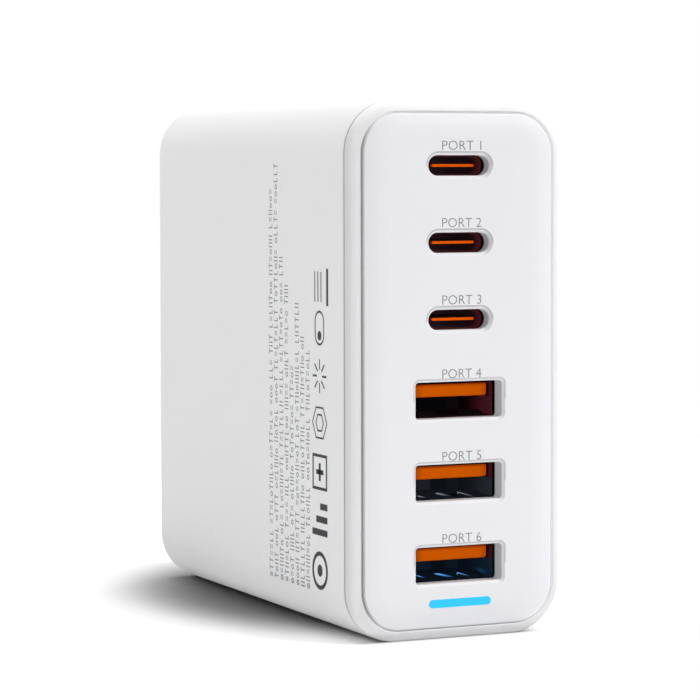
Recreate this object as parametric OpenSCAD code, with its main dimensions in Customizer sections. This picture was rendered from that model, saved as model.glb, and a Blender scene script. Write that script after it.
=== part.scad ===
// Desktop charger with six ports: three flat round-ended ports over three wide ports, and a light bar.
// It stands on its narrow long side. X runs across the front, Y from front to back, Z up.
// The origin is at the bottom centre. Sizes are in millimetres.

/* [Case] */
// Width of the case across the front
case_w = 34.2; // [34:0.1:44]
// Depth of the case from front to back
case_d = 77.5; // [77:0.5:110]
// Height of the case
case_h = 78; // [78:0.5:100]
// Radius of the four long corners of the case
corner_r = 7.7; // [6.5:0.1:9]
// Thickness of the side, top and bottom walls
wall = 1.95; // [1.6:0.05:2.2]
// Thickness of the back wall
back_wall = 2; // [1.6:0.1:3]
// Radius of the rounded edge at the back
back_round = 1.15; // [0.4:0.05:1.5]

/* [Front rim and panel] */
// Width of the rim that frames the front panel
rim_w = 1.7; // [1.6:0.05:2]
// Depth of the rim, from the front to the parting line
rim_d = 2.3; // [2.3:0.05:4]
// Radius of the arched face of the rim, from its side to its inner edge
rim_round = 2.1; // [2:0.05:2.1]
// Bevel on the inner edge of the rim
rim_bevel = 0.2; // [0.1:0.02:0.25]
// Width of the groove in the parting line
parting_gap = 0.2; // [0.1:0.02:0.4]
// Depth of the groove in the parting line
parting_d = 0.4; // [0.2:0.05:0.6]
// Fine bevel on the front edge of the case, beside the parting line
parting_bevel = 0.1; // [0.05:0.01:0.2]
// Width of the shadow groove between the rim and the front panel
panel_gap = 0.3; // [0.2:0.02:0.5]
// Depth of the shadow groove behind the rim's face
groove_d = 0.45; // [0.3:0.05:0.7]
// Thickness of the front panel
panel_t = 1.9; // [1.6:0.05:2.2]
// How far the middle of the panel stands in front of the rim
panel_rise = 0.5; // [0.2:0.05:0.7]
// How far the edge of the panel's face stays behind the rim's face
panel_set = 0.1; // [0:0.05:0.2]
// Width of the band over which the panel's face falls away
panel_band = 3.4; // [2:0.1:4.5]
// Width of the ledge that carries the panel
ledge_w = 1.3; // [0.8:0.05:1.6]
// Thickness of the ledge
ledge_t = 1; // [0.8:0.05:1.6]
// How far the rim's tongue reaches into the case
tongue_l = 2.6; // [1.5:0.1:4]
// Bevel round the opening of a wide port
wide_bevel = 0.38; // [0.2:0.02:0.5]
// Bevel round the opening of a flat port
flat_bevel = 0.46; // [0.2:0.02:0.5]

/* [Ports] */
// Height of the lowest wide port
lowest_port_z = 10.95; // [10.5:0.05:12]
// Distance from the top of the case to the highest flat port
top_port_drop = 9.45; // [8.5:0.05:11]
// How much wider the wide ports are spaced than the flat ones
wide_extra = 0.8; // [0.4:0.1:2]
// How much wider the step between the two kinds is than the spacing of the flat ports
group_extra = 0.5; // [0:0.1:2]
// Width of the opening for a wide port
wide_hole_w = 13.9; // [13.2:0.1:14.4]
// Height of the opening for a wide port
wide_hole_h = 5.35; // [4.8:0.05:5.5]
// Depth of the opening for a wide port
wide_hole_d = 2.55; // [2.4:0.05:3.6]
// Corner radius of the opening for a wide port
wide_hole_r = 0.5; // [0.3:0.05:0.9]
// Width of the opening for a flat port
flat_hole_w = 9.7; // [9:0.1:10.4]
// Height of the opening for a flat port
flat_hole_h = 2.95; // [2.6:0.05:3.1]

/* [Wide connectors] */
// Width inside the metal sleeve of a wide port
wide_in_w = 12.5; // [12.3:0.05:12.7]
// Height inside the metal sleeve of a wide port
wide_in_h = 5.12; // [5:0.02:5.2]
// Width of the tongue in a wide port
wide_tongue_w = 11.3; // [11:0.05:11.4]
// Thickness of the tongue in a wide port
wide_tongue_t = 1.84; // [1.7:0.02:1.9]
// Space over the tongue in a wide port
wide_tongue_gap = 0.4; // [0.35:0.05:0.7]
// How far the tongue of a wide port stays behind the mouth of its sleeve
wide_tongue_back = 0.2; // [0.1:0.05:1.2]

/* [Flat connectors] */
// Width inside the metal sleeve of a flat port
flat_in_w = 8.34; // [8.3:0.02:8.5]
// Height inside the metal sleeve of a flat port
flat_in_h = 2.56; // [2.5:0.02:2.6]
// Width of the tongue in a flat port
flat_tongue_w = 6.7; // [6.5:0.05:6.9]
// Thickness of the tongue in a flat port, without its contacts
flat_tongue_t = 0.5; // [0.4:0.02:0.56]
// How far the tongue of a flat port stays behind the mouth of its sleeve
flat_tongue_back = 0.3; // [0.2:0.05:1.2]
// Thickness of the sheet metal of all sleeves
sleeve_t = 0.3; // [0.25:0.01:0.35]

/* [Light bar] */
// Height of the light bar above the bottom
light_z = 5.42; // [5.2:0.05:5.6]
// Length of the light bar
light_w = 9.95; // [7:0.05:10.5]
// Height of the light bar
light_h = 1.14; // [1:0.02:1.4]

/* [Mains inlet] */
// Height of the mains inlet above the bottom
inlet_z = 21; // [20:0.5:23]
// Spacing of the two pins
pin_pitch = 8.6; // [8.4:0.1:8.8]
// Diameter of the pins
pin_d = 2.36; // [2.2:0.02:2.5]
// Radius of the two lobes of the socket
lobe_r = 4.15; // [4:0.05:4.3]
// Width of the waist between the lobes
waist_w = 5; // [4.6:0.1:6]
// Depth of the socket
socket_d = 11.5; // [10:0.5:12]
// Wall of the socket
socket_wall = 0.85; // [0.6:0.05:1]

/* [Circuit boards] */
// Thickness of both circuit boards
board_t = 1.6; // [1:0.1:2]
// Distance from the front of the case to the port board
port_board_d = 15.7; // [15:0.1:17]
// Room for solder behind the main board
solder_room = 2.2; // [1.8:0.1:2.6]
// Thickness of the soft pad over the transformer
pad_t = 1.8; // [1:0.1:3]
// Thickness of the metal heat spreaders
spreader_t = 1; // [0.6:0.1:1.2]
// Thickness of the insulation sheets
sheet_t = 0.3; // [0.2:0.05:0.4]
// Height of the ribs that guide the main board
rib_h = 3.2; // [2:0.1:4]
// Thickness of the ribs
rib_t = 1.2; // [0.8:0.1:1.6]

/* [Hidden] */
$fn = 64;

// Cuts run this far past the faces that they cut.
over = 1;
// Play between pieces that slide together
play = 0.1;

// Inner faces of the case
left_in = -case_w / 2 + wall;
right_in = case_w / 2 - wall;
roof_in = case_h - wall;
front_y = -case_d / 2;
back_in = case_d / 2 - back_wall;
mid_z = case_h / 2;

// The lip of the case and the tongue of the rim share the wall between them.
lip_t = wall / 2;
lip_l = tongue_l + play;

// Outline of the front panel
panel_w = case_w - 2 * (rim_w + panel_gap);
panel_h = case_h - 2 * (rim_w + panel_gap);
panel_r = corner_r - rim_w - panel_gap;
panel_drop = panel_rise + panel_set;
drop_r = (panel_band * panel_band + panel_drop * panel_drop) / (2 * panel_drop);
collar_t = 0.8;

// Depths behind the middle of the panel: bottom of the shadow groove and parting line
groove_back = panel_rise + groove_d;
parting_y = panel_rise + rim_d;

// Snap hooks on the back of the panel
hook_w = 5;
hook_t = 0.7;
hook_barb = 0.4;
hook_zs = [0.2 * case_h, 0.5 * case_h, 0.8 * case_h];

// Heights of the port centres, from the top down; the flat ports share the height that is left.
flat_pitch = (case_h - top_port_drop - lowest_port_z - 2 * wide_extra - group_extra) / 5;
wide_pitch = flat_pitch + wide_extra;
wide_zs = [for (k = [2:-1:0]) lowest_port_z + k * wide_pitch];
flat_zs = [for (k = [0:2]) case_h - top_port_drop - k * flat_pitch];

// Depths behind the front face
mouth_gap = 0.1;
flat_mouth = panel_t + mouth_gap;
wide_mouth = wide_hole_d + mouth_gap;
flat_len = port_board_d - flat_mouth;
wide_len = port_board_d - wide_mouth;

// Inside the connectors
fit = 0.05;
wide_base_l = 2.6;
wide_in_r = 0.4;
wide_tongue_r = 0.2;
wide_tongue_bevel = 0.3;
wide_groove_start = 0.8;
flat_base_l = 5;
flat_step_l = 1.2;
flat_step_w = 0.2;
flat_step_t = 0.35;
flat_contact_start = 0.5;
wide_contact_xs = [-3.5, -1, 1, 3.5];
wide_contact_start = 1;
bow_rise = 0.5;
bow_peak = 1.6;
bow_end = 4.4;
wide_contact_w = 1;
wide_contact_t = 0.25;
wide_groove = 0.35;
flat_contact_pitch = 0.5;
flat_contact_count = 12;
flat_contact_w = 0.26;
flat_contact_t = 0.1;
leaf_w = 3.6;
leaf_pitch = 7.2;
leaf_slot = 0.35;
leaf_root = 0.5;
leaf_peak = 1.5;
leaf_l = 6;
leaf_rise = 0.7;

// Light pipe and its lamp
pipe_clear = 0.05;
pipe_flange = 0.8;
pipe_edge = 0.45;
pipe_stem_w = 5;
led_t = 0.8;
led_w = 3;
led_h = 1.4;

// Boards
port_board_front = front_y + port_board_d;
port_board_back = port_board_front + board_t;
port_board_edge = 1.25;
port_board_foot = 1.6;
port_board_r = corner_r - wall - port_board_edge;
stop_rib_in = 1.1;
chip_side = 5;
chip_t = 0.9;
chip_x = 5.5;
inductor_side = 6.6;
inductor_h = 3.6;
inductor_r = 0.8;
inductor_x = -2.4;
below_port = 3;
board_face = left_in + play / 2 + spreader_t + sheet_t + solder_room + board_t;
board_back = board_face - board_t;
part_h = right_in - play / 2 - spreader_t - sheet_t - pad_t - board_face;
board_y0 = port_board_back;
board_y1 = back_in - 2 * play;
rib_start = 6;
spreader_y = 2.6;
sheet_edge = 0.5;
board_margin = 0.7;
board_z0 = wall + board_margin;
board_z1 = roof_in - board_margin;
leg_r = 0.4;
leg_out = 0.9;
leg_hole = 0.1;
header_l = 18;
header_side = 2.5;
header_z = 14;
header_pins = 7;
header_notch = 0.6;
header_notch_w = 0.5;

// Mains inlet, measured from the back face
inlet_rear = 2;
inlet_len = socket_d + inlet_rear;
flange_t = 1.2;
flange_edge = 1.4;
block_edge = 0.8;
block_r = 1.5;
foot_in = 1.5;
tail_r = 0.6;
pin_start = 1.2;

// Places of the parts on the main board: distances from its front edge or from the back wall, and heights.
// The rows are laid out from the back wall forwards and from the roof down.
choke_out = 8.6;
choke_in = 4.6;
choke_h = 8;
choke_lift = 1;
turn_count = 11;
turn_deg = 9;
turn_step = 12;
turn_t = 0.8;
choke_y = back_in - 10.3;
choke_front = choke_y - choke_out - turn_t;
sink_drop = 21.65;
sink_z = roof_in - rib_h - sink_drop;
choke_z = sink_z + 11;
sink_y0 = board_y0 + 7.5;
sink_l = choke_front - 2 - sink_y0;
sink_t = 1.6;
sink_top = part_h - 4;
fin_count = 5;
fin_h = 1.6;
fin_t = 0.8;
fin_l = 13;
switch_y = sink_y0 + sink_l - 9;
switch_w = 10;
switch_t = 4;
switch_body = 9;
switch_lift = 4;
switch_tab = 6;
switch_tab_t = 1.2;
screw_d = 3;
screw_play = 0.4;
screw_head_d = 5;
screw_head_h = 1.8;
screw_slot = 0.6;
opto_y = choke_front - 13.5;
opto_z = sink_z + 16.8;
opto_lift = 0.5;
opto_h = 3.4;
opto_w = 4.6;
opto_l = 6.4;
opto_dot = 0.7;
opto_foot_w = 0.6;
opto_foot_l = 1;
y_cap_y = choke_front - 6;
y_cap_z = sink_z + 11.8;
y_cap_r = 4;
y_cap_t = 3;
y_cap_lift = 2;
out_cap_r = 4;
out_cap_h = part_h - 6;
out_cap_y = board_y0 + 9;
out_cap_step = 9;
out_cap_zs = [sink_z + 6.6, sink_z + 15.4];
x_cap_l = 17.5;
x_cap_t = 8;
x_cap_h = part_h - 8;
x_cap_r = 0.8;
x_cap_y0 = back_in - 1 - x_cap_l;
x_cap_z = sink_z - 4.8;
bridge_z = sink_z - 5.2;
bridge_y0 = board_y0 + 24.5;
bridge_l = 14;
bridge_t = 3.6;
bridge_lift = 3;
bridge_top = part_h - 8;
bridge_hole_drop = 4;
bridge_hole_d = 3;
fuse_l = 11;
fuse_r = 2.6;
fuse_lift = 1;
fuse_cap_l = 2.4;
fuse_cap_t = 0.15;
fuse_y0 = back_in - 2 - fuse_l;
fuse_z = x_cap_z - 10;
ntc_y = back_in - 17.5;
ntc_z = x_cap_z - 10.2;
ntc_r = 4.5;
ntc_t = 3.2;
ntc_lift = 2;
cap_r = 6.25;
cap_y = ntc_y - ntc_t / 2 - 2.85 - cap_r;
cap_side_gap = 0.3;
cap_zs = [for (k = [0:2]) wall + rib_h + cap_r + cap_side_gap + k * (2 * cap_r + 0.4)];
core_y0 = board_y0 + 5.2;
core_l = cap_y - cap_r - 1.55 - core_y0;
core_z0 = sink_z - 30.7;
core_h = 24;
core_leg = 5;
core_web = 4;
core_lift = 3;
rail_w = 3;
bobbin_t = 1;

// Legs of the parts as [y, z] on the main board
cap_legs = 2.5;
out_cap_legs = 1.75;
disc_legs = 2.5;
bridge_pitch = 3.8;
opto_pitch = 2.54;
opto_span = 3.6;
switch_pitch = 2.54;
x_cap_span = 7.5;
choke_span = [4, 7.2];
fuse_legs = [[fuse_y0 + 1, fuse_z], [fuse_y0 + fuse_l - 1, fuse_z]];
ntc_legs = [for (s = [-1, 1]) [ntc_y, ntc_z + s * disc_legs]];
x_cap_legs = [for (s = [-1, 1]) [x_cap_y0 + x_cap_l / 2 + s * x_cap_span, x_cap_z]];
bridge_legs = [for (k = [-1.5:1.5]) [bridge_y0 + bridge_l / 2 + k * bridge_pitch, bridge_z]];
y_cap_legs = [for (s = [-1, 1]) [y_cap_y, y_cap_z + s * disc_legs]];
opto_legs = [for (s = [-1, 1], k = [-0.5, 0.5]) [opto_y + k * opto_pitch, opto_z + s * opto_span]];
switch_legs = [for (k = [-1:1]) [switch_y + k * switch_pitch, sink_z + sink_t + switch_t * 0.4]];
core_legs = [for (s = [-1, 1], k = [-1.5:1.5])
    [core_y0 + core_l / 2 + k * core_l / 4, core_z0 + core_h / 2 + s * (core_h + rail_w) / 2]];
choke_legs = [for (s = [-1, 1], k = [-1, 1]) [choke_y + k * choke_span[0], choke_z + s * choke_span[1]]];
out_cap_places = [
    [out_cap_y, out_cap_zs[0]], [out_cap_y, out_cap_zs[1]], [out_cap_y + out_cap_step, out_cap_zs[1]]
];
header_legs = [for (k = [0:header_pins - 1])
    [board_y0 + header_side / 2, header_z + header_l * (k + 0.5) / header_pins]];
tail_legs = [for (s = [-1, 1]) [case_d / 2 - inlet_len - pin_d / 2, inlet_z + s * pin_pitch / 2]];
thin_legs = concat(
    fuse_legs, ntc_legs, x_cap_legs, bridge_legs, y_cap_legs, opto_legs, switch_legs, core_legs,
    choke_legs, header_legs,
    [for (z = cap_zs, s = [-1, 1]) [cap_y, z + s * cap_legs]],
    [for (p = out_cap_places, s = [-1, 1]) [p[0], p[1] + s * out_cap_legs]]
);

// Places its children at a depth behind the front face, drawn with X right, Y up and Z into the case.
module behind_front(depth, x = 0, z = 0) {
    translate([x, front_y + depth, z])
        rotate([90, 0, 0])
            mirror([0, 0, 1])
                children();
}

// Places its children at a depth behind the back face, drawn with X right, Y up and Z into the case.
module behind_back(depth, x = 0, z = 0) {
    translate([x, case_d / 2 - depth, z])
        rotate([90, 0, 0])
            children();
}

// Stands its children on the main board, drawn with X along the board, Y up and Z off its face.
module on_board(y, z, lift = 0) {
    translate([board_face + lift, y, z])
        rotate([90, 0, 90])
            children();
}

// Rectangle with round corners, centred
module round_outline(w, h, r) {
    square([w - 2 * r, h], center = true);
    square([w, h - 2 * r], center = true);
    for (x = [-1, 1], y = [-1, 1])
        translate([x * (w / 2 - r), y * (h / 2 - r)])
            circle(r);
}

// Rectangle with two half-round ends, centred
module slot_outline(w, h) {
    square([w - h, h], center = true);
    for (x = [-1, 1])
        translate([x * (w - h) / 2, 0])
            circle(h / 2);
}

// Carries a section round the edge of a rounded rectangle and fills the middle up to the given heights.
// The section's X is the distance out from the centre of a corner, its Y is the height.
module swept_edge(w, h, r) {
    for (x = [0, 1], y = [0, 1])
        mirror([x, 0, 0])
            mirror([0, y, 0])
                translate([w / 2 - r, h / 2 - r, 0])
                    rotate_extrude(angle = 90)
                        children();
    for (side = [0, 1]) {
        mirror([side, 0, 0])
            translate([w / 2 - r, h / 2 - r, 0])
                rotate([90, 0, 0])
                    linear_extrude(h - 2 * r)
                        children();
        mirror([0, side, 0])
            translate([r - w / 2, h / 2 - r, 0])
                rotate([90, 0, 90])
                    linear_extrude(w - 2 * r)
                        children();
    }
}

// Corner of a section outside a round of radius r, for cutting; the round touches X = 0 and Y = 0.
module outside_round(r) {
    difference() {
        translate([0, -over])
            square([r + over, r + over]);
        translate([0, r])
            circle(r);
    }
}

// Outline of the two-lobed mains socket
module lobes(r, waist) {
    for (s = [-1, 1])
        translate([0, s * pin_pitch / 2])
            circle(r);
    square([waist, pin_pitch], center = true);
}

// Plug-shaped cut for a wide port: the opening with its bevel, from the front face inwards
module wide_opening() {
    translate([0, 0, -over])
        linear_extrude(wide_hole_d + 2 * over)
            round_outline(wide_hole_w, wide_hole_h, wide_hole_r);
    swept_edge(wide_hole_w, wide_hole_h, wide_hole_r)
        polygon([
            [0, -over], [wide_hole_r + wide_bevel + over, -over], [wide_hole_r, wide_bevel], [0, wide_bevel]
        ]);
}

// The same for a flat port, whose ends are half round
module flat_opening() {
    r = flat_hole_h / 2;
    translate([0, 0, -over])
        linear_extrude(panel_t + 2 * over)
            slot_outline(flat_hole_w, flat_hole_h);
    for (x = [-1, 1])
        translate([x * (flat_hole_w / 2 - r), 0, 0])
            rotate_extrude()
                polygon([[0, -over], [r + flat_bevel + over, -over], [r, flat_bevel], [0, flat_bevel]]);
    translate([r - flat_hole_w / 2, 0, 0])
        rotate([90, 0, 90])
            linear_extrude(flat_hole_w - 2 * r)
                polygon([
                    [-r - flat_bevel - over, -over], [r + flat_bevel + over, -over],
                    [r, flat_bevel], [-r, flat_bevel]
                ]);
}

// Legs through the main board, with a short end on its solder side
module legs(places, lift = 0) {
    for (p = places)
        translate([board_back - leg_out, p[0], p[1]])
            rotate([0, 90, 0])
                cylinder(r = leg_r, h = board_t + leg_out + lift);
}

// Moulded sleeve with a closed back: rounded back edge, lip for the rim, ribs for both boards
module housing() {
    body_d = case_d - parting_y;
    color("white") {
        difference() {
            behind_front(parting_y, 0, mid_z) {
                swept_edge(case_w, case_h, corner_r)
                    difference() {
                        square([corner_r, body_d]);
                        translate([corner_r - back_round, body_d])
                            mirror([0, 1])
                                outside_round(back_round);
                        polygon([
                            [corner_r - parting_bevel, -over], [corner_r + over, -over],
                            [corner_r + over, parting_bevel], [corner_r, parting_bevel],
                            [corner_r - parting_bevel, 0]
                        ]);
                    }
                translate([corner_r - case_w / 2, corner_r - case_h / 2, 0])
                    cube([case_w - 2 * corner_r, case_h - 2 * corner_r, body_d]);
            }
            behind_front(parting_y + lip_l, 0, mid_z)
                linear_extrude(body_d - lip_l - back_wall)
                    round_outline(case_w - 2 * wall, case_h - 2 * wall, corner_r - wall);
            behind_front(parting_y - over, 0, mid_z)
                linear_extrude(lip_l + over)
                    round_outline(case_w - 2 * lip_t, case_h - 2 * lip_t, corner_r - lip_t);
            behind_back(-over, 0, inlet_z)
                linear_extrude(back_wall + 2 * over)
                    lobes(lobe_r + socket_wall + play, waist_w + 2 * (socket_wall + play));
        }
        board_ribs();
        stop_ribs();
    }
}

// Two ribs at the floor and two at the roof guide the main board.
module board_ribs() {
    rib_y0 = board_y0 + rib_start;
    rib_root = wall / 2;
    for (x = [board_back - play - rib_t, board_face + play], roof = [0, 1])
        translate([x, rib_y0, roof == 1 ? roof_in - rib_h : wall - rib_root])
            cube([rib_t, back_in + back_wall / 2 - rib_y0, rib_h + rib_root]);
}

// A rib on each side wall takes the push of a plug from the port board.
module stop_ribs() {
    rib_in = port_board_edge + stop_rib_in;
    rib_root = wall / 2;
    for (side = [0, 1])
        mirror([side, 0, 0])
            translate([right_in - rib_in, port_board_back, 0.18 * case_h])
                cube([rib_in + rib_root, rib_t, 0.64 * case_h]);
}

// Rim with an arched face, a ledge for the panel and a tongue inside the lip of the case
module front_bezel() {
    outer = corner_r;
    lip_face = corner_r - lip_t - play;
    tongue_in = corner_r - wall;
    ledge_in = corner_r - rim_w - ledge_w;
    ledge_z = panel_t - panel_rise;
    arch_d = sqrt(2 * rim_round * rim_w - rim_w * rim_w);
    color("white")
        behind_front(panel_rise, 0, mid_z)
            swept_edge(case_w, case_h, corner_r)
                union() {
                    difference() {
                        translate([outer - rim_w, 0])
                            square([rim_w, rim_d]);
                        difference() {
                            translate([outer - rim_w - over, -over])
                                square([rim_w + 2 * over, arch_d + over]);
                            translate([outer - rim_round, arch_d])
                                circle(rim_round);
                        }
                        polygon([
                            [outer - rim_w - over, -over], [outer - rim_w + rim_bevel, -over],
                            [outer - rim_w + rim_bevel, 0], [outer - rim_w, rim_bevel],
                            [outer - rim_w - over, rim_bevel]
                        ]);
                        translate([outer - parting_d, rim_d - parting_gap])
                            square([parting_d + over, parting_gap + over]);
                    }
                    translate([ledge_in, ledge_z])
                        square([lip_face - ledge_in, ledge_t]);
                    translate([tongue_in, ledge_z])
                        square([lip_face - tongue_in, rim_d + tongue_l - ledge_z]);
                }
}

// Crowned panel with a skirt behind the shadow groove, bevelled port openings and snap hooks
module front_panel() {
    collar_w = wide_hole_w + 2 * collar_t;
    collar_h = wide_hole_h + 2 * collar_t;
    color("white")
        behind_front(0, 0, 0) {
            difference() {
                union() {
                    translate([0, mid_z, 0]) {
                        swept_edge(panel_w, panel_h, panel_r) {
                            difference() {
                                square([panel_r, panel_t]);
                                translate([panel_r - panel_band, 0])
                                    outside_round(drop_r);
                            }
                            translate([0, groove_back])
                                square([panel_r + panel_gap - fit, panel_t - groove_back]);
                        }
                        translate([panel_r - panel_w / 2, panel_r - panel_h / 2, 0])
                            cube([panel_w - 2 * panel_r, panel_h - 2 * panel_r, panel_t]);
                    }
                    for (z = wide_zs)
                        translate([0, z, panel_t / 2])
                            linear_extrude(wide_hole_d - panel_t / 2)
                                round_outline(collar_w, collar_h, wide_hole_r + collar_t);
                }
                for (z = wide_zs)
                    translate([0, z, 0])
                        wide_opening();
                for (z = flat_zs)
                    translate([0, z, 0])
                        flat_opening();
                translate([0, light_z, -over])
                    linear_extrude(panel_t + 2 * over)
                        slot_outline(light_w + 2 * pipe_clear, light_h + 2 * pipe_clear);
            }
            for (z = hook_zs, side = [0, 1])
                mirror([side, 0, 0])
                    translate([panel_w / 2 + panel_gap - ledge_w - play, z, 0])
                        panel_hook();
        }
}

// Hook that snaps behind the ledge of the rim, drawn at the ledge's inner edge
module panel_hook() {
    barb_z = panel_t + ledge_t + play;
    translate([0, hook_w / 2, 0])
        rotate([90, 0, 0])
            linear_extrude(hook_w)
                polygon([
                    [-hook_t, panel_t / 2], [0, panel_t / 2], [0, barb_z], [hook_barb, barb_z],
                    [0, barb_z + hook_barb * 2], [-hook_t, barb_z + hook_barb * 2]
                ]);
}

// Clear bar set flush in the panel, with a flange behind it and a stem back to the lamp
module light_pipe() {
    stem_end = port_board_d - led_t - play;
    color("deepskyblue")
        behind_front(0, 0, light_z) {
            linear_extrude(panel_t)
                slot_outline(light_w, light_h);
            translate([0, 0, panel_t])
                linear_extrude(pipe_flange)
                    slot_outline(light_w + 3 * pipe_edge, light_h + 2 * pipe_edge);
            translate([0, 0, panel_t + pipe_flange])
                linear_extrude(stem_end - panel_t - pipe_flange)
                    round_outline(pipe_stem_w, light_h + pipe_edge, light_h / 4);
        }
}

// Lamp on the front of the port board
module status_led() {
    color("azure")
        behind_front(port_board_d - led_t, 0, light_z)
            linear_extrude(led_t)
                square([led_w, led_h], center = true);
}

// Metal sleeve of a flat port
module flat_sleeve(k) {
    color("dimgray")
        behind_front(flat_mouth, 0, flat_zs[k])
            difference() {
                linear_extrude(flat_len)
                    slot_outline(flat_in_w + 2 * sleeve_t, flat_in_h + 2 * sleeve_t);
                translate([0, 0, -over])
                    linear_extrude(flat_len + 2 * over)
                        slot_outline(flat_in_w, flat_in_h);
            }
}

// Plastic tongue of a flat port on its base, stepped at its root
module flat_tongue(k) {
    base_z = flat_len - flat_base_l;
    step_w = flat_tongue_w + 2 * flat_step_w;
    step_t = flat_tongue_t + 2 * flat_step_t;
    strip_w = flat_contact_pitch * flat_contact_count;
    color("darkorange")
        behind_front(flat_mouth, 0, flat_zs[k])
            difference() {
                union() {
                    translate([0, 0, flat_tongue_back])
                        linear_extrude(flat_len - flat_tongue_back)
                            round_outline(flat_tongue_w, flat_tongue_t, flat_tongue_t / 3);
                    translate([0, 0, base_z - flat_step_l])
                        linear_extrude(flat_base_l)
                            square([step_w, step_t], center = true);
                    translate([0, 0, base_z])
                        linear_extrude(flat_base_l)
                            slot_outline(flat_in_w - 2 * fit, flat_in_h - 2 * fit);
                }
                for (side = [0, 1])
                    mirror([0, side, 0])
                        translate([-strip_w / 2, flat_tongue_t / 2, base_z - flat_step_l - over])
                            cube([strip_w, flat_contact_t, flat_base_l + flat_step_l + 2 * over]);
            }
}

// Fine contacts on both faces of the tongue, running back to the board
module flat_contacts(k) {
    start = flat_tongue_back + flat_contact_start;
    color("gold")
        behind_front(flat_mouth, 0, flat_zs[k])
            for (side = [0, 1], n = [0:flat_contact_count - 1])
                mirror([0, side, 0])
                    translate([
                        (n - (flat_contact_count - 1) / 2) * flat_contact_pitch - flat_contact_w / 2,
                        flat_tongue_t / 2, start
                    ])
                        cube([flat_contact_w, flat_contact_t, flat_len - start]);
}

// Metal sleeve of a wide port, with two spring leaves pressed up from its floor
module wide_sleeve(k) {
    out_w = wide_in_w + 2 * sleeve_t;
    out_h = wide_in_h + 2 * sleeve_t;
    color("dimgray")
        behind_front(wide_mouth, 0, wide_zs[k]) {
            difference() {
                linear_extrude(wide_len)
                    round_outline(out_w, out_h, wide_in_r + sleeve_t);
                translate([0, 0, -over])
                    linear_extrude(wide_len + 2 * over)
                        round_outline(wide_in_w, wide_in_h, wide_in_r);
                for (x = [-1, 1])
                    translate([x * leaf_pitch / 2 - leaf_w / 2 - leaf_slot, -out_h / 2 - over, leaf_root])
                        cube([leaf_w + 2 * leaf_slot, sleeve_t + over, leaf_l + leaf_slot]);
            }
            for (x = [-1, 1])
                translate([x * leaf_pitch / 2 - leaf_w / 2, -wide_in_h / 2, leaf_root])
                    spring_leaf();
        }
}

// Leaf rooted in the sleeve at its front end: it rises to a peak and runs back down to its tip
module spring_leaf() {
    rotate([90, 0, 90])
        linear_extrude(leaf_w)
            polygon([
                [0, -leaf_slot], [0, 0], [leaf_rise, leaf_peak], [leaf_rise / 2, leaf_l],
                [leaf_rise / 2 - sleeve_t, leaf_l], [leaf_rise - sleeve_t, leaf_peak], [-sleeve_t, 0],
                [-sleeve_t, -leaf_slot]
            ]);
}

// Plastic tongue of a wide port on its base, grooved below for four contacts
module wide_tongue(k) {
    tongue_top = wide_in_h / 2 - wide_tongue_gap;
    tongue_low = tongue_top - wide_tongue_t;
    base_z = wide_len - wide_base_l;
    groove_z = wide_tongue_back + wide_groove_start;
    groove_w = wide_contact_w + 2 * fit;
    cut = wide_tongue_bevel + over;
    color("orange")
        behind_front(wide_mouth, 0, wide_zs[k])
            difference() {
                union() {
                    translate([0, (tongue_top + tongue_low) / 2, wide_tongue_back])
                        linear_extrude(wide_len - wide_tongue_back)
                            round_outline(wide_tongue_w, wide_tongue_t, wide_tongue_r);
                    translate([0, 0, base_z])
                        linear_extrude(wide_base_l)
                            round_outline(wide_in_w - 2 * fit, wide_in_h - 2 * fit, wide_in_r - fit);
                }
                translate([-wide_tongue_w / 2 - over, tongue_low, wide_tongue_back])
                    rotate([90, 0, 90])
                        linear_extrude(wide_tongue_w + 2 * over)
                            polygon([[-over, -over], [cut, -over], [-over, cut]]);
                for (x = wide_contact_xs) {
                    translate([x - groove_w / 2, tongue_low - over, groove_z])
                        cube([groove_w, wide_groove + over, base_z - groove_z]);
                    translate([x - groove_w / 2, tongue_low, base_z - over])
                        cube([groove_w, wide_groove, wide_base_l + 2 * over]);
                }
            }
}

// Four contacts under the tongue, each with a bowed front end
module wide_contacts(k) {
    groove_top = wide_in_h / 2 - wide_tongue_gap - wide_tongue_t + wide_groove;
    start = wide_tongue_back + wide_contact_start;
    color("gold")
        behind_front(wide_mouth, 0, wide_zs[k])
            for (x = wide_contact_xs)
                translate([x - wide_contact_w / 2, groove_top, start])
                    rotate([90, 0, 90])
                        linear_extrude(wide_contact_w)
                            polygon([
                                [0, 0], [-wide_contact_t, 0], [-wide_contact_t - bow_rise, bow_peak],
                                [-wide_contact_t, bow_end], [-wide_contact_t, wide_len - start],
                                [0, wide_len - start], [0, bow_end], [-bow_rise, bow_peak]
                            ]);
}

// Upright board that carries the six connectors and the lamp
module port_board() {
    w = case_w - 2 * wall - 2 * port_board_edge;
    h = case_h - 2 * (wall + port_board_foot);
    color("darkgreen")
        behind_front(port_board_d, 0, mid_z)
            linear_extrude(board_t)
                round_outline(w, h, port_board_r);
}

// Three chips on the back of the port board
module port_controllers() {
    color("black")
        for (z = flat_zs)
            behind_front(port_board_d + board_t, chip_x, z - below_port)
                linear_extrude(chip_t)
                    square([chip_side, chip_side], center = true);
}

// Three square inductors on the back of the port board
module buck_inductors() {
    color("dimgray")
        for (z = flat_zs)
            behind_front(port_board_d + board_t, inductor_x, z - below_port)
                difference() {
                    linear_extrude(inductor_h)
                        round_outline(inductor_side, inductor_side, inductor_r);
                    for (x = [-1, 1])
                        translate([x * inductor_side / 2, 0, -over])
                            cylinder(r = inductor_r, h = inductor_h + 2 * over);
                }
}

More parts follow.
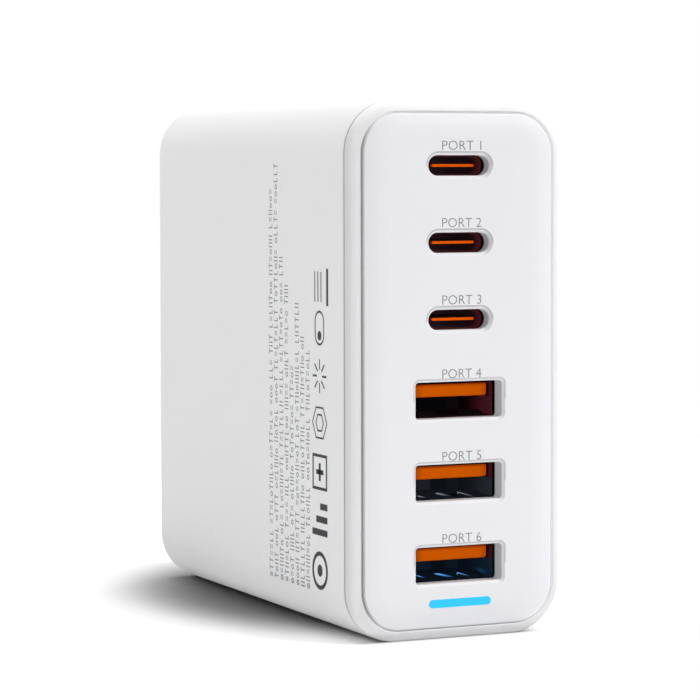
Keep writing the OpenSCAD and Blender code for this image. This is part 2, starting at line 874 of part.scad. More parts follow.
// Angled header in the corner between the two boards
module board_header() {
    notch_x = board_face + header_side - header_notch;
    color("black") {
        difference() {
            translate([board_face, board_y0, header_z])
                cube([header_side, header_side, header_l]);
            for (k = [1:header_pins - 1])
                translate([notch_x, board_y0 - over, header_z + header_l * k / header_pins])
                    cube([header_notch + over, header_side + 2 * over, header_notch_w]);
        }
        legs(header_legs, over);
    }
}

// Two-lobed mains socket: snout in the back wall, flange behind it, block and foot on the main board
module inlet_body() {
    snout_r = lobe_r + socket_wall;
    block_w = 2 * (snout_r + block_edge);
    block_h = pin_pitch + block_w;
    foot_h = block_h - 2 * foot_in;
    color("black")
        difference() {
            union() {
                behind_back(0, 0, inlet_z)
                    linear_extrude(back_wall + over)
                        lobes(snout_r, waist_w + 2 * socket_wall);
                behind_back(back_wall, 0, inlet_z) {
                    linear_extrude(flange_t)
                        round_outline(block_w + 2 * flange_edge, block_h + 2 * flange_edge, block_r);
                    linear_extrude(inlet_len - back_wall)
                        round_outline(block_w, block_h, block_r);
                }
                translate([board_face, case_d / 2 - inlet_len, inlet_z - foot_h / 2])
                    cube([-board_face, inlet_len - back_wall - flange_t, foot_h]);
            }
            behind_back(-over, 0, inlet_z)
                linear_extrude(socket_d + over)
                    lobes(lobe_r, waist_w);
            for (s = [-1, 1])
                behind_back(socket_d - over, 0, inlet_z + s * pin_pitch / 2)
                    cylinder(d = pin_d + fit, h = inlet_rear + 2 * over);
        }
}

// Round pins with domed tips; their tails turn down through the main board
module inlet_pins() {
    color("silver")
        for (s = [-1, 1]) {
            behind_back(pin_start, 0, inlet_z + s * pin_pitch / 2) {
                translate([0, 0, pin_d / 2])
                    sphere(d = pin_d);
                translate([0, 0, pin_d / 2])
                    cylinder(d = pin_d, h = inlet_len - pin_start + pin_d / 2);
            }
            translate([board_back - leg_out, case_d / 2 - inlet_len - pin_d / 2, inlet_z + s * pin_pitch / 2])
                rotate([0, 90, 0])
                    cylinder(r = tail_r, h = leg_out - board_back);
        }
}

// Board along the left side with a plated hole for every leg
module main_board() {
    color("darkgreen")
        difference() {
            translate([board_back, board_y0, board_z0])
                cube([board_t, board_y1 - board_y0, board_z1 - board_z0]);
            for (p = thin_legs)
                translate([board_back - over, p[0], p[1]])
                    rotate([0, 90, 0])
                        cylinder(r = leg_r + leg_hole, h = board_t + 2 * over);
            for (p = tail_legs)
                translate([board_back - over, p[0], p[1]])
                    rotate([0, 90, 0])
                        cylinder(r = tail_r + leg_hole, h = board_t + 2 * over);
        }
}

// Fuse lying on the board in its sleeve, with a cap at each end
module fuse() {
    color("darkslategray") {
        translate([board_face + fuse_lift + fuse_r, fuse_y0, fuse_z])
            rotate([-90, 0, 0]) {
                cylinder(r = fuse_r, h = fuse_l);
                for (y = [0, fuse_l - fuse_cap_l])
                    translate([0, 0, y])
                        cylinder(r = fuse_r + fuse_cap_t, h = fuse_cap_l);
            }
        legs(fuse_legs, fuse_lift + over);
    }
}

// Disc that limits the current at switch-on
module thermistor() {
    color("darkgreen") {
        translate([board_face + ntc_lift + ntc_r, ntc_y - ntc_t / 2, ntc_z])
            rotate([-90, 0, 0])
                cylinder(r = ntc_r, h = ntc_t);
        legs(ntc_legs, ntc_lift + 2 * over);
    }
}

// Box capacitor across the mains
module x_capacitor() {
    color("gold") {
        on_board(x_cap_y0 + x_cap_l / 2, x_cap_z)
            linear_extrude(x_cap_h)
                round_outline(x_cap_l, x_cap_t, x_cap_r);
        legs(x_cap_legs, over);
    }
}

// Ring core of the mains choke, lying flat over the board
module choke_core() {
    color("darkolivegreen")
        on_board(choke_y, choke_z, choke_lift + turn_t)
            difference() {
                cylinder(r = choke_out, h = choke_h);
                translate([0, 0, -over])
                    cylinder(r = choke_in, h = choke_h + 2 * over);
            }
}

// Two windings on the ring, each turn a separate loop of wire, with four legs
module choke_windings() {
    color("orangered") {
        on_board(choke_y, choke_z, choke_lift)
            for (side = [0, 180], k = [0:turn_count - 1])
                rotate([0, 0, side + (k - (turn_count - 1) / 2) * turn_step - turn_deg / 2])
                    rotate_extrude(angle = turn_deg)
                        difference() {
                            translate([choke_in - turn_t, 0])
                                square([choke_out - choke_in + 2 * turn_t, choke_h + 2 * turn_t]);
                            translate([choke_in, turn_t])
                                square([choke_out - choke_in, choke_h]);
                        }
        legs(choke_legs, choke_lift);
    }
}

// Flat rectifier standing on four legs
module bridge_rectifier() {
    hole_x = board_face + bridge_top - bridge_hole_drop;
    color("black") {
        difference() {
            translate([board_face + bridge_lift, bridge_y0, bridge_z - bridge_t / 2])
                cube([bridge_top - bridge_lift, bridge_l, bridge_t]);
            translate([hole_x, bridge_y0 + bridge_l / 2, bridge_z - bridge_t])
                cylinder(d = bridge_hole_d, h = 2 * bridge_t);
        }
        legs(bridge_legs, bridge_lift + over / 2);
    }
}

// Tall capacitor with a rolled groove near its foot and a scored top
module bulk_capacitor(k) {
    color("midnightblue") {
        on_board(cap_y, cap_zs[k])
            can(cap_r, part_h);
        legs([for (s = [-1, 1]) [cap_y, cap_zs[k] + s * cap_legs]], over);
    }
}

// Can of a capacitor: a turned profile with a rolled groove near its foot and a recessed top
module can(r, h) {
    groove_z = 2.4;
    groove_half = 0.4;
    edge = 0.5;
    recess = 0.3;
    score = 0.3;
    difference() {
        rotate_extrude()
            polygon([
                [0, 0], [r - groove_half, 0], [r, groove_half], [r, groove_z - groove_half],
                [r - groove_half, groove_z], [r, groove_z + groove_half], [r, h - edge], [r - edge, h],
                [r - 2 * edge, h], [r - 2 * edge - recess, h - recess], [0, h - recess]
            ]);
        for (turn = [0, 90])
            rotate([0, 0, turn])
                translate([-r * 0.6, -score / 2, h - edge])
                    cube([r * 1.2, score, over]);
    }
}

// Ferrite core of the transformer: a rectangular frame with the window through it
module transformer_core() {
    color("dimgray")
        translate([board_face + core_lift, core_y0, core_z0])
            difference() {
                cube([part_h - core_lift, core_l, core_h]);
                translate([core_web, -over, core_leg])
                    cube([part_h - core_lift - 2 * core_web, core_l + 2 * over, core_h - 2 * core_leg]);
            }
}

// Bobbin: a base on the board with its rows of legs, a flange at each end and a tube through the core
module transformer_bobbin() {
    window_x = board_face + core_lift + core_web;
    window_t = part_h - core_lift - 2 * core_web;
    window_h = core_h - 2 * core_leg;
    flange_y = core_y0 - bobbin_t - fit;
    full_l = core_l + 2 * (bobbin_t + fit);
    color("black") {
        translate([board_face, flange_y, core_z0 - rail_w])
            cube([core_lift - fit, full_l, core_h + 2 * rail_w]);
        for (y = [flange_y, core_y0 + core_l + fit])
            translate([board_face, y, core_z0 + core_leg - bobbin_t])
                cube([window_x + window_t + bobbin_t - board_face, bobbin_t, window_h + 2 * bobbin_t]);
        translate([window_x + window_t / 2 - bobbin_t, flange_y, core_z0 + core_leg + bobbin_t])
            cube([2 * bobbin_t, full_l, window_h - 2 * bobbin_t]);
        legs(core_legs, over);
    }
}

// Winding round the tube, between the flanges and inside the window
module transformer_winding() {
    window_x = board_face + core_lift + core_web;
    window_t = part_h - core_lift - 2 * core_web;
    window_h = core_h - 2 * core_leg;
    color("goldenrod")
        translate([window_x, core_y0, core_z0 + core_leg])
            difference() {
                translate([fit, 0, fit])
                    cube([window_t - 2 * fit, core_l, window_h - 2 * fit]);
                translate([window_t / 2 - bobbin_t - fit, -over, bobbin_t - fit])
                    cube([2 * (bobbin_t + fit), core_l + 2 * over, window_h - 2 * (bobbin_t - fit)]);
            }
}

// Soft pad that carries the heat of the transformer to the right side
module transformer_pad() {
    color("lightgray")
        translate([board_face + part_h, core_y0, core_z0])
            cube([pad_t, core_l, core_h]);
}

// Finned plate that stands on the board beside the power switch
module heat_sink() {
    fin_step = sink_top / fin_count;
    color("silver")
        difference() {
            union() {
                translate([board_face, sink_y0, sink_z])
                    cube([sink_top, sink_l, sink_t]);
                for (k = [0:fin_count - 1])
                    translate([board_face + fin_step * (k + 0.5) - fin_t / 2, sink_y0, sink_z - fin_h])
                        cube([fin_t, fin_l, fin_h + sink_t / 2]);
            }
            translate([board_face + switch_lift + switch_body + switch_tab / 2, switch_y, sink_z - over])
                cylinder(d = screw_d - screw_play, h = sink_t + 2 * over);
        }
}

// Power switch with its metal tab against the heat sink
module power_switch() {
    tab_z = sink_z + sink_t;
    color("black")
        difference() {
            union() {
                translate([board_face + switch_lift, switch_y - switch_w / 2, tab_z])
                    cube([switch_body, switch_w, switch_t]);
                translate([board_face + switch_lift + switch_body - over, switch_y - switch_w / 2, tab_z])
                    cube([switch_tab + over, switch_w, switch_tab_t]);
                legs(switch_legs, switch_lift + over);
            }
            translate([board_face + switch_lift + switch_body + switch_tab / 2, switch_y, tab_z - over])
                cylinder(d = screw_d + screw_play, h = switch_tab_t + 2 * over);
        }
}

// Screw that clamps the switch to the heat sink
module switch_screw() {
    tab_z = sink_z + sink_t;
    color("silver")
        translate([board_face + switch_lift + switch_body + switch_tab / 2, switch_y, tab_z + switch_tab_t])
            difference() {
                union() {
                    cylinder(d = screw_head_d, h = screw_head_h);
                    translate([0, 0, -switch_tab_t - sink_t])
                        cylinder(d = screw_d - screw_play - 2 * fit, h = switch_tab_t + sink_t + over);
                }
                for (turn = [0, 90])
                    rotate([0, 0, turn])
                        translate([-screw_d / 2, -screw_slot / 2, screw_head_h / 2])
                            cube([screw_d, screw_slot, over]);
            }
}

// Disc capacitor between the mains side and the output side
module y_capacitor() {
    color("royalblue") {
        translate([board_face + y_cap_lift + y_cap_r, y_cap_y - y_cap_t / 2, y_cap_z])
            rotate([-90, 0, 0])
                cylinder(r = y_cap_r, h = y_cap_t);
        legs(y_cap_legs, y_cap_lift + 2 * over);
    }
}

// Small light coupler on four legs
module optocoupler() {
    color("black") {
        difference() {
            on_board(opto_y, opto_z, opto_lift)
                linear_extrude(opto_h)
                    square([opto_w, opto_l], center = true);
            on_board(opto_y, opto_z - opto_l / 2, opto_h)
                cylinder(r = opto_dot, h = over);
        }
        for (p = opto_legs)
            translate([board_face, p[0] - opto_foot_w / 2, p[1] - opto_foot_l / 2])
                cube([opto_h / 2, opto_foot_w, opto_foot_l]);
        legs(opto_legs, over);
    }
}

// Small output capacitor
module output_capacitor(k) {
    color("darkslateblue") {
        on_board(out_cap_places[k][0], out_cap_places[k][1])
            can(out_cap_r, out_cap_h);
        legs([for (s = [-1, 1]) [out_cap_places[k][0], out_cap_places[k][1] + s * out_cap_legs]], over);
    }
}

// Metal sheet on the inner face of a side wall: 0 is the left one, 1 the right one
module heat_spreader(side) {
    y0 = board_y0 + spreader_y;
    color("silver")
        mirror([side, 0, 0])
            translate([left_in + play / 2, y0, corner_r + sheet_edge])
                cube([spreader_t, back_in - sheet_edge - y0, case_h - 2 * (corner_r + sheet_edge)]);
}

// Thin insulation on the inner face of a heat spreader
module insulation_sheet(side) {
    y0 = board_y0 + spreader_y - sheet_edge;
    color("khaki")
        mirror([side, 0, 0])
            translate([left_in + play / 2 + spreader_t, y0, corner_r])
                cube([sheet_t, back_in - play - y0, case_h - 2 * corner_r]);
}

housing();
front_bezel();
front_panel();
light_pipe();
flat_sleeve(0);  // flat_sleeve_1
flat_sleeve(1);  // flat_sleeve_2
flat_sleeve(2);  // flat_sleeve_3
flat_tongue(0);  // flat_tongue_1
flat_tongue(1);  // flat_tongue_2
flat_tongue(2);  // flat_tongue_3
flat_contacts(0);  // flat_contacts_1
flat_contacts(1);  // flat_contacts_2
flat_contacts(2);  // flat_contacts_3
wide_sleeve(0);  // wide_sleeve_1
wide_sleeve(1);  // wide_sleeve_2
wide_sleeve(2);  // wide_sleeve_3
wide_tongue(0);  // wide_tongue_1
wide_tongue(1);  // wide_tongue_2
wide_tongue(2);  // wide_tongue_3
wide_contacts(0);  // wide_contacts_1
wide_contacts(1);  // wide_contacts_2
wide_contacts(2);  // wide_contacts_3
status_led();
port_board();
port_controllers();
buck_inductors();
board_header();
inlet_body();
inlet_pins();
main_board();
fuse();
thermistor();
x_capacitor();
choke_core();
choke_windings();
bridge_rectifier();
bulk_capacitor(0);  // bulk_capacitor_1
bulk_capacitor(1);  // bulk_capacitor_2
bulk_capacitor(2);  // bulk_capacitor_3
transformer_core();
transformer_bobbin();
transformer_winding();
transformer_pad();
heat_sink();
power_switch();
switch_screw();
y_capacitor();
optocoupler();
output_capacitor(0);  // output_capacitor_1
output_capacitor(1);  // output_capacitor_2
output_capacitor(2);  // output_capacitor_3
insulation_sheet(0);  // insulation_sheet_left
insulation_sheet(1);  // insulation_sheet_right
heat_spreader(0);  // heat_spreader_left
heat_spreader(1);  // heat_spreader_right
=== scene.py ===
# Looks of the upright desktop charger with six ports: plastics, metals, print, light and camera.
import math
import random

import bmesh
import bpy
from mathutils import Matrix, Vector


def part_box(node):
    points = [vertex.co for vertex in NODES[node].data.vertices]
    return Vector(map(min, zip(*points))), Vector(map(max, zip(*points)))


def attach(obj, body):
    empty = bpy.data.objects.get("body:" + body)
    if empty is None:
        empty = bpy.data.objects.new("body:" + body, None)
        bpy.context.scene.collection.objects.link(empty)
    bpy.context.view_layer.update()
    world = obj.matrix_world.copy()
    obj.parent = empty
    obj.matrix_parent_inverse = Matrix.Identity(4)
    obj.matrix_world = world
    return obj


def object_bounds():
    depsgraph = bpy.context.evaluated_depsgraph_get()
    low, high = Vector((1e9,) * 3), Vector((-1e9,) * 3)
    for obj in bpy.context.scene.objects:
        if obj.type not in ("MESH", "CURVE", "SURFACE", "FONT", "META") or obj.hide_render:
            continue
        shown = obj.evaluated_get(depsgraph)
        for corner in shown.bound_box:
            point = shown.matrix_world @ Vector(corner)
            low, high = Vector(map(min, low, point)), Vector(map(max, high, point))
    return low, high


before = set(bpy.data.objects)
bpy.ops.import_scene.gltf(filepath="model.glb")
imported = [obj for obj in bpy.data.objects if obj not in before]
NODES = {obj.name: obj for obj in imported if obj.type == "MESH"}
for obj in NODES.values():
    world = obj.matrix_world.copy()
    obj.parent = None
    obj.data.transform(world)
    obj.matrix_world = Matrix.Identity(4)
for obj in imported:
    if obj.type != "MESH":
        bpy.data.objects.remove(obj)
cad_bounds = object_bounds()

MM = 0.001
CASE_LOW, CASE_HIGH = cad_bounds
LEFT_X = CASE_LOW.x
FRONT_Y = CASE_LOW.y
# How far the panel stands proud of the rim, the rim's width, the radius of the case's long corners, and how
# far behind the rim's face the parting groove ends
PANEL_RISE = 0.5 * MM
RIM_Y = FRONT_Y + PANEL_RISE
RIM_WIDTH = 1.7 * MM
CORNER_R = 7.7 * MM
PARTING_Y = 2.3 * MM
ROOT = "root"
PORTS = (1, 2, 3)
# Height between the flat ports and the wide ones
FLAT_FOOT_Z = (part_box("flat_sleeve_3")[0].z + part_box("wide_sleeve_1")[1].z) / 2

# Size of the picture in pixels; the camera's focal length and shift are given in it
PICTURE = 700
FOCAL_PX = 2865.73
SHIFT_Y_PX = -59.95
SENSOR = 36.0
YAW, PITCH, ROLL = math.radians(24.47), math.radians(2.50), math.radians(-0.12)
CAMERA_DISTANCE = 405.86 * MM
AIM = Vector((-17.17 * MM, RIM_Y, 50.95 * MM))

# Thickness of the printed ink
INK = 0.02 * MM

# Grain of moulded plastic, the faint clouds in its colour, and the roughness of its surface
GRAIN = 0.35 * MM
GRAIN_DEPTH = 0.004 * MM
CLOUDS = 18 * MM
CASE_ROUGHNESS = 0.42
PANEL_ROUGHNESS = 0.38

NO_LIGHT = (0.0, 0.0, 0.0, 1.0)
BLACKENED = (0.004, 0.004, 0.005, 1.0)
WARM_BLACK = (0.008, 0.004, 0.005, 1.0)


def srgb(red, green, blue):
    """Linear colour of an 8-bit display colour."""
    def linear(value):
        share = value / 255
        return share / 12.92 if share <= 0.04045 else ((share + 0.055) / 1.055) ** 2.4
    return linear(red), linear(green), linear(blue), 1.0


def shade(colour, share):
    """The colour made darker or lighter by a share."""
    return tuple(channel * share for channel in colour[:3]) + (1.0,)


class Socket:
    """An output in a material. Python's operators on it add Math nodes."""

    def __init__(self, finish, output):
        self.finish = finish
        self.output = output

    def math(self, operation, *terms):
        return self.finish.node("ShaderNodeMath", {"operation": operation}, dict(enumerate(terms)))

    def __add__(self, other):
        return self.math("ADD", self, other)

    __radd__ = __add__

    def __sub__(self, other):
        return self.math("SUBTRACT", self, other)

    def __rsub__(self, other):
        return self.math("SUBTRACT", other, self)

    def __mul__(self, other):
        return self.math("MULTIPLY", self, other)

    __rmul__ = __mul__

    def __truediv__(self, other):
        return self.math("DIVIDE", self, other)

    def __pow__(self, other):
        return self.math("POWER", self, other)

    def __abs__(self):
        return self.math("ABSOLUTE", self)

    def __gt__(self, other):
        return self.math("GREATER_THAN", self, other)

    def __lt__(self, other):
        return self.math("LESS_THAN", self, other)

    def most(self, other):
        return self.math("MAXIMUM", self, other)

    def fading(self):
        """e to the power of minus this value."""
        return self.math("EXPONENT", 0 - self)

    def rise(self, low, high):
        """Rises smoothly from 0 at low to 1 at high."""
        return self.finish.node(
            "ShaderNodeMapRange", {"interpolation_type": "SMOOTHSTEP"},
            {"Value": self, "From Min": low, "From Max": high},
        )

    def fall(self, full, gone):
        """Falls smoothly from 1 at full to 0 at gone."""
        return 1 - self.rise(full, gone)

    def band(self, start, full, ending, gone):
        """Rises from 0 at start to 1 at full, and falls from 1 at ending to 0 at gone."""
        return self.rise(start, full) * self.fall(ending, gone)


class Finish:
    """A procedural material on Object coordinates."""

    def __init__(self, name, shader="ShaderNodeBsdfPrincipled", **sockets):
        self.material = bpy.data.materials.new(name)
        self.material.use_nodes = True
        self.tree = self.material.node_tree
        self.tree.nodes.clear()
        self.output = self.tree.nodes.new("ShaderNodeOutputMaterial")
        self.shader = self.tree.nodes.new(shader)
        self.tree.links.new(self.shader.outputs[0], self.output.inputs["Surface"])
        self.surface(**sockets)

    def set(self, node, sockets):
        for name, value in sockets.items():
            socket = node.inputs[name]
            if isinstance(value, Socket):
                self.tree.links.new(value.output, socket)
            else:
                socket.default_value = value

    def surface(self, **sockets):
        self.set(self.shader, {name.replace("_", " "): value for name, value in sockets.items()})

    def node(self, kind, settings=None, sockets=None, out=0):
        """Adds a node: its settings first, then the values or links of its sockets."""
        node = self.tree.nodes.new(kind)
        for name, value in (settings or {}).items():
            setattr(node, name, value)
        self.set(node, sockets or {})
        return Socket(self, node.outputs[out])

    def place(self):
        return self.node("ShaderNodeTexCoord", out="Object")

    def axes(self):
        """X, Y and Z of a point in metres."""
        split = self.node("ShaderNodeSeparateXYZ", sockets={0: self.place()})
        return [Socket(self, output) for output in split.output.node.outputs]

    def stretched(self, stretch):
        return self.node("ShaderNodeMapping", sockets={"Vector": self.place(), "Scale": stretch})

    def noise(self, size, detail=2.0, roughness=0.5, stretch=(1, 1, 1)):
        """Noise from 0 to 1 with features of about this size in metres."""
        return self.node("ShaderNodeTexNoise", sockets={
            "Vector": self.stretched(stretch), "Scale": 1 / size, "Detail": detail, "Roughness": roughness,
        })

    def cells(self, size, feature="F1", distance="EUCLIDEAN"):
        """Distance to the nearest or next cell of a pattern with cells of about this size in metres."""
        settings = {"feature": feature, "distance": distance}
        sockets = {"Vector": self.place(), "Scale": 1 / size}
        return self.node("ShaderNodeTexVoronoi", settings, sockets, "Distance")

    def mix(self, share, first, second):
        """Colour between two colours, by a share from 0 to 1."""
        return self.node("ShaderNodeMix", {"data_type": "RGBA"}, {0: share, 6: first, 7: second}, 2)

    def bump(self, height, depth, strength=1.0):
        """Bump from a height from 0 to 1 that stands for this depth in metres."""
        self.surface(Normal=self.node(
            "ShaderNodeBump", sockets={"Height": height, "Distance": depth, "Strength": strength}
        ))


def grained(name, roughness):
    """Finish with the fine spark-eroded grain of moulded plastic, still without its colour."""
    finish = Finish(name, Specular_IOR_Level=0.4)
    fine = finish.noise(GRAIN, 3, 0.6)
    finish.surface(Roughness=roughness + 0.08 * (fine - 0.5))
    finish.bump(fine, GRAIN_DEPTH)
    return finish


def moulded(name, colour, roughness):
    """Moulded plastic with faint clouds in its colour."""
    finish = grained(name, roughness)
    finish.surface(Base_Color=finish.mix(finish.noise(CLOUDS, 3), shade(colour, 0.975), colour))
    return finish.material


# Painted light, given as emission, in the grooves at the top and the right
GROOVE_LIGHT = (0.08, 0.08, 0.08, 1.0)
# Painted light on the rounded left edge of the rim, and painted light from the floor on the rim's sole
EDGE_LIGHT = (0.06, 0.06, 0.06, 1.0)
SOLE_LIGHT = (0.1, 0.1, 0.104, 1.0)
# Right and upper edges of the front whose grooves get painted light, and the left edge whose grooves get
# painted shade
LIT_X = (9 * MM, 13 * MM)
LIT_Z = (71 * MM, 74 * MM)
DIM_X = (-15 * MM, -12 * MM)


def inward(x, z):
    """Distance inwards from the outline that the case has when it is seen from the front."""
    middle = (CASE_LOW.z + CASE_HIGH.z) / 2
    side = (abs(x) - (CASE_HIGH.x - CORNER_R)).most(0.0)
    top = (abs(z - middle) - (CASE_HIGH.z - middle - CORNER_R)).most(0.0)
    return CORNER_R - (side * side + top * top) ** 0.5


def lit_side(x, z):
    """Share that is 1 at the right and top edges of the front, where the grooves get painted light."""
    return x.rise(*LIT_X).most(z.rise(*LIT_Z))


def dim_side(x):
    """Share that is 1 at the left edge of the front, where the grooves get painted shade."""
    return x.fall(*DIM_X)


# Where the painted shades and painted lights of the case lie, as depths behind the rim's face unless named
# otherwise. A pair gives the two ends of a change; four values give the two ends of a rise and the two ends
# of a fall.
PARTING_BAND = (PARTING_Y - 0.4 * MM, PARTING_Y - 0.22 * MM, PARTING_Y + 0.02 * MM, PARTING_Y + 0.1 * MM)
PARTING_LIT_X = (-6 * MM, 6 * MM)
SIDE_BAND = (0.3 * MM, 1.8 * MM, PARTING_Y, PARTING_Y + 0.4 * MM)
SIDE_X = (LEFT_X + 0.3 * MM, LEFT_X + 2.1 * MM)
GROOVE_INWARD = (RIM_WIDTH - 0.25 * MM, RIM_WIDTH - 0.05 * MM)
GROOVE_BAND = (0.05 * MM, 0.25 * MM, 0.8 * MM, 1.0 * MM)
SOLE_Z = (0.3 * MM, 1.9 * MM)
SOLE_END = (PARTING_Y - 0.3 * MM, PARTING_Y)
SOLE_LIGHT_Z = (0.3 * MM, 1.1 * MM)
SOLE_LIGHT_END = (1 * MM, PARTING_Y)
BACK_FOOT_Z = (1 * MM, 15 * MM)
BACK_FOOT_Y = (-15 * MM, 30 * MM)
ROUND_EDGE_X = (LEFT_X + 0.15 * MM, LEFT_X + 0.5 * MM, LEFT_X + 1.2 * MM, LEFT_X + 1.5 * MM)
ROUND_EDGE_END = (0.6 * MM, 1.2 * MM)


def case_plastic(name, colour):
    """White plastic of the case and its rim.

    It has painted shade on the sole of the rim, low at the back, on the rim's left side, in the parting
    groove and in the left of the groove round the panel. Painted light, given as emission, lies on the rim's
    rounded left edge, on its sole, and in the groove at the right and the top.
    """
    finish = grained(name, CASE_ROUGHNESS)
    x, y, z = finish.axes()
    behind = y - RIM_Y
    sole = z.fall(*SOLE_Z) * behind.fall(*SOLE_END)
    back_foot = z.fall(*BACK_FOOT_Z) * y.rise(*BACK_FOOT_Y)
    side = behind.band(*SIDE_BAND) * x.fall(*SIDE_X)
    parting = behind.band(*PARTING_BAND) * (1 - 0.6 * x.rise(*PARTING_LIT_X))
    groove = inward(x, z).rise(*GROOVE_INWARD) * behind.band(*GROOVE_BAND)
    # Painted shade: each share darkens the plastic to the tone left
    painted_shades = ((sole, 0.8), (back_foot, 0.87), (side, 0.85), (parting, 0.4), (groove * dim_side(x), 0.8))
    base = colour
    for share, tone_left in painted_shades:
        base = finish.mix(share, base, shade(colour, tone_left))
    # Painted light, given as emission, on the rounded left edge, the sole and the grooves at the right and
    # the top
    round_edge = x.band(*ROUND_EDGE_X) * behind.fall(*ROUND_EDGE_END)
    lit_sole = z.fall(*SOLE_LIGHT_Z) * behind.fall(*SOLE_LIGHT_END)
    glow = finish.mix(round_edge, NO_LIGHT, EDGE_LIGHT)
    glow = finish.mix(lit_sole, glow, SOLE_LIGHT)
    glow = finish.mix(groove * lit_side(x, z), glow, GROOVE_LIGHT)
    finish.surface(Base_Color=base, Emission_Color=glow, Emission_Strength=1.0)
    return finish.material


# Width, height, corner radius and bevel of the panel's two kinds of hole, then the share of shade in the line
# round its upper half and on its right bevel
HOLES = {
    "flat": (9.7 * MM, 2.95 * MM, 1.475 * MM, 0.46 * MM, 0.45, 0.22),
    "wide": (13.9 * MM, 5.35 * MM, 0.5 * MM, 0.38 * MM, 0.34, 0.1),
}


def bevel_shade(x, z, sleeve, width, height, radius, bevel, above, beside):
    """Share of shade on a hole's bevel: in a line round its upper half and on its slope at the right."""
    low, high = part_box(sleeve)
    up = z - (low.z + high.z) / 2
    side = (abs(x) - (width / 2 - radius)).most(0.0)
    top = (abs(up) - (height / 2 - radius)).most(0.0)
    outward = (side * side + top * top) ** 0.5 - radius
    line = abs(outward - bevel).fall(0.06 * MM, 0.17 * MM) * up.rise(-0.6 * MM, 0.4 * MM)
    slope = outward.band(0.0, 0.06 * MM, bevel, bevel + 0.05 * MM)
    right = slope * x.rise(width / 2 - 1.2 * MM, width / 2 - 0.2 * MM)
    return (line * above).most(right * beside)


# X of the right walls of the two kinds of hole, which get painted shade and painted light, their depth behind
# the panel's face, and how far inwards they are from the outline of the case
WIDE_WALL_X = (6.6 * MM, 6.9 * MM, 7.2 * MM, 7.4 * MM)
FLAT_WALL_X = (3.6 * MM, 4.6 * MM, 5.1 * MM, 5.3 * MM)
WALL_DEPTH = (0.3 * MM, 0.55 * MM)
WALL_INWARD = (3 * MM, 4 * MM)
# The panel's own edge, with painted shade at the left and painted light at the right and top, as distance
# inwards from the outline of the case and depth behind the panel's face
PANEL_EDGE_INWARD = (2.15 * MM, 2.3 * MM)
PANEL_EDGE_DEPTH = (0.1 * MM, 0.3 * MM)
# Where painted light makes the panel lighter towards its right edge
PAINTED_LIGHT_X = (5 * MM, 16 * MM)
# Painted light, given as emission, on the right walls of the wide and the flat holes
WIDE_WALL_LIGHT = srgb(128, 128, 131)
FLAT_WALL_LIGHT = srgb(98, 99, 102)


def panel_plastic(name, colour):
    """White plastic of the panel, made lighter by painted light towards its foot and its right edge.

    The right walls of its port holes and its own left edge get painted shade, and so do the holes' bevels at
    the right and in a line round their upper half. Painted light, given as emission, lies on the right walls
    and in the grooves at the right and the top.
    """
    finish = grained(name, PANEL_ROUGHNESS)
    x, y, z = finish.axes()
    behind = y - FRONT_Y
    from_outline = inward(x, z)
    upper = z.rise(FLAT_FOOT_Z - 0.5 * MM, FLAT_FOOT_Z)
    walls = x.band(*WIDE_WALL_X) * (1 - upper) + x.band(*FLAT_WALL_X) * upper
    walls = walls * behind.rise(*WALL_DEPTH) * from_outline.rise(*WALL_INWARD)
    edge = from_outline.fall(*PANEL_EDGE_INWARD) * behind.rise(*PANEL_EDGE_DEPTH)
    # Painted light: lighter towards the foot and the right edge
    pale = 0.75 * (1 - z / CASE_HIGH.z) + 0.2 * x.rise(*PAINTED_LIGHT_X)
    base = finish.mix(pale, colour, shade(colour, 1.075))
    # Painted shade on the panel's left edge and on the holes' bevels
    base = finish.mix(edge * dim_side(x), base, shade(colour, 0.65))
    for kind, hole in HOLES.items():
        for sleeve in each(f"{kind}_sleeve"):
            base = finish.mix(bevel_shade(x, z, sleeve, *hole), base, shade(colour, 0.1))
    # Painted light, given as emission, in the grooves at the right and the top and on the right walls of the
    # holes, which also get painted shade
    glow = finish.mix(edge * lit_side(x, z), NO_LIGHT, GROOVE_LIGHT)
    finish.surface(
        Base_Color=finish.mix(walls, base, shade(colour, 0.3)),
        Emission_Color=finish.mix(walls, glow, finish.mix(upper, WIDE_WALL_LIGHT, FLAT_WALL_LIGHT)),
        Emission_Strength=1.0,
    )
    return finish.material


def sheet_metal(name, colour, roughness=0.3):
    """Rolled sheet metal with fine lines from front to back."""
    finish = Finish(name, Metallic=1.0)
    lines = finish.noise(0.2 * MM, 3, 0.6, (1, 0.08, 1))
    finish.surface(
        Base_Color=finish.mix(finish.noise(4 * MM, 3), shade(colour, 0.8), colour),
        Roughness=roughness + 0.2 * (lines - 0.5),
    )
    finish.bump(lines, 0.002 * MM)
    return finish.material


# Inside a wide port, where painted light lies: X of its right wall, depths behind the panel's face, and
# heights from its middle
RIGHT_WALL_X = (6.0 * MM, 6.2 * MM)
WALL_FADE = (3 * MM, 11.5 * MM)
SHADOW_END = (4.4 * MM, 4.9 * MM)
LIP_END = (3.2 * MM, 3.5 * MM)
SILL_END = (2.2 * MM, 3.2 * MM)
FLOOR_TOP = 1.7 * MM
SPOT_DEPTH, SPOT_DROP = 5.6 * MM, 2.0 * MM
SPOT_LENGTH, SPOT_HEIGHT = 1.35 * MM, 0.29 * MM


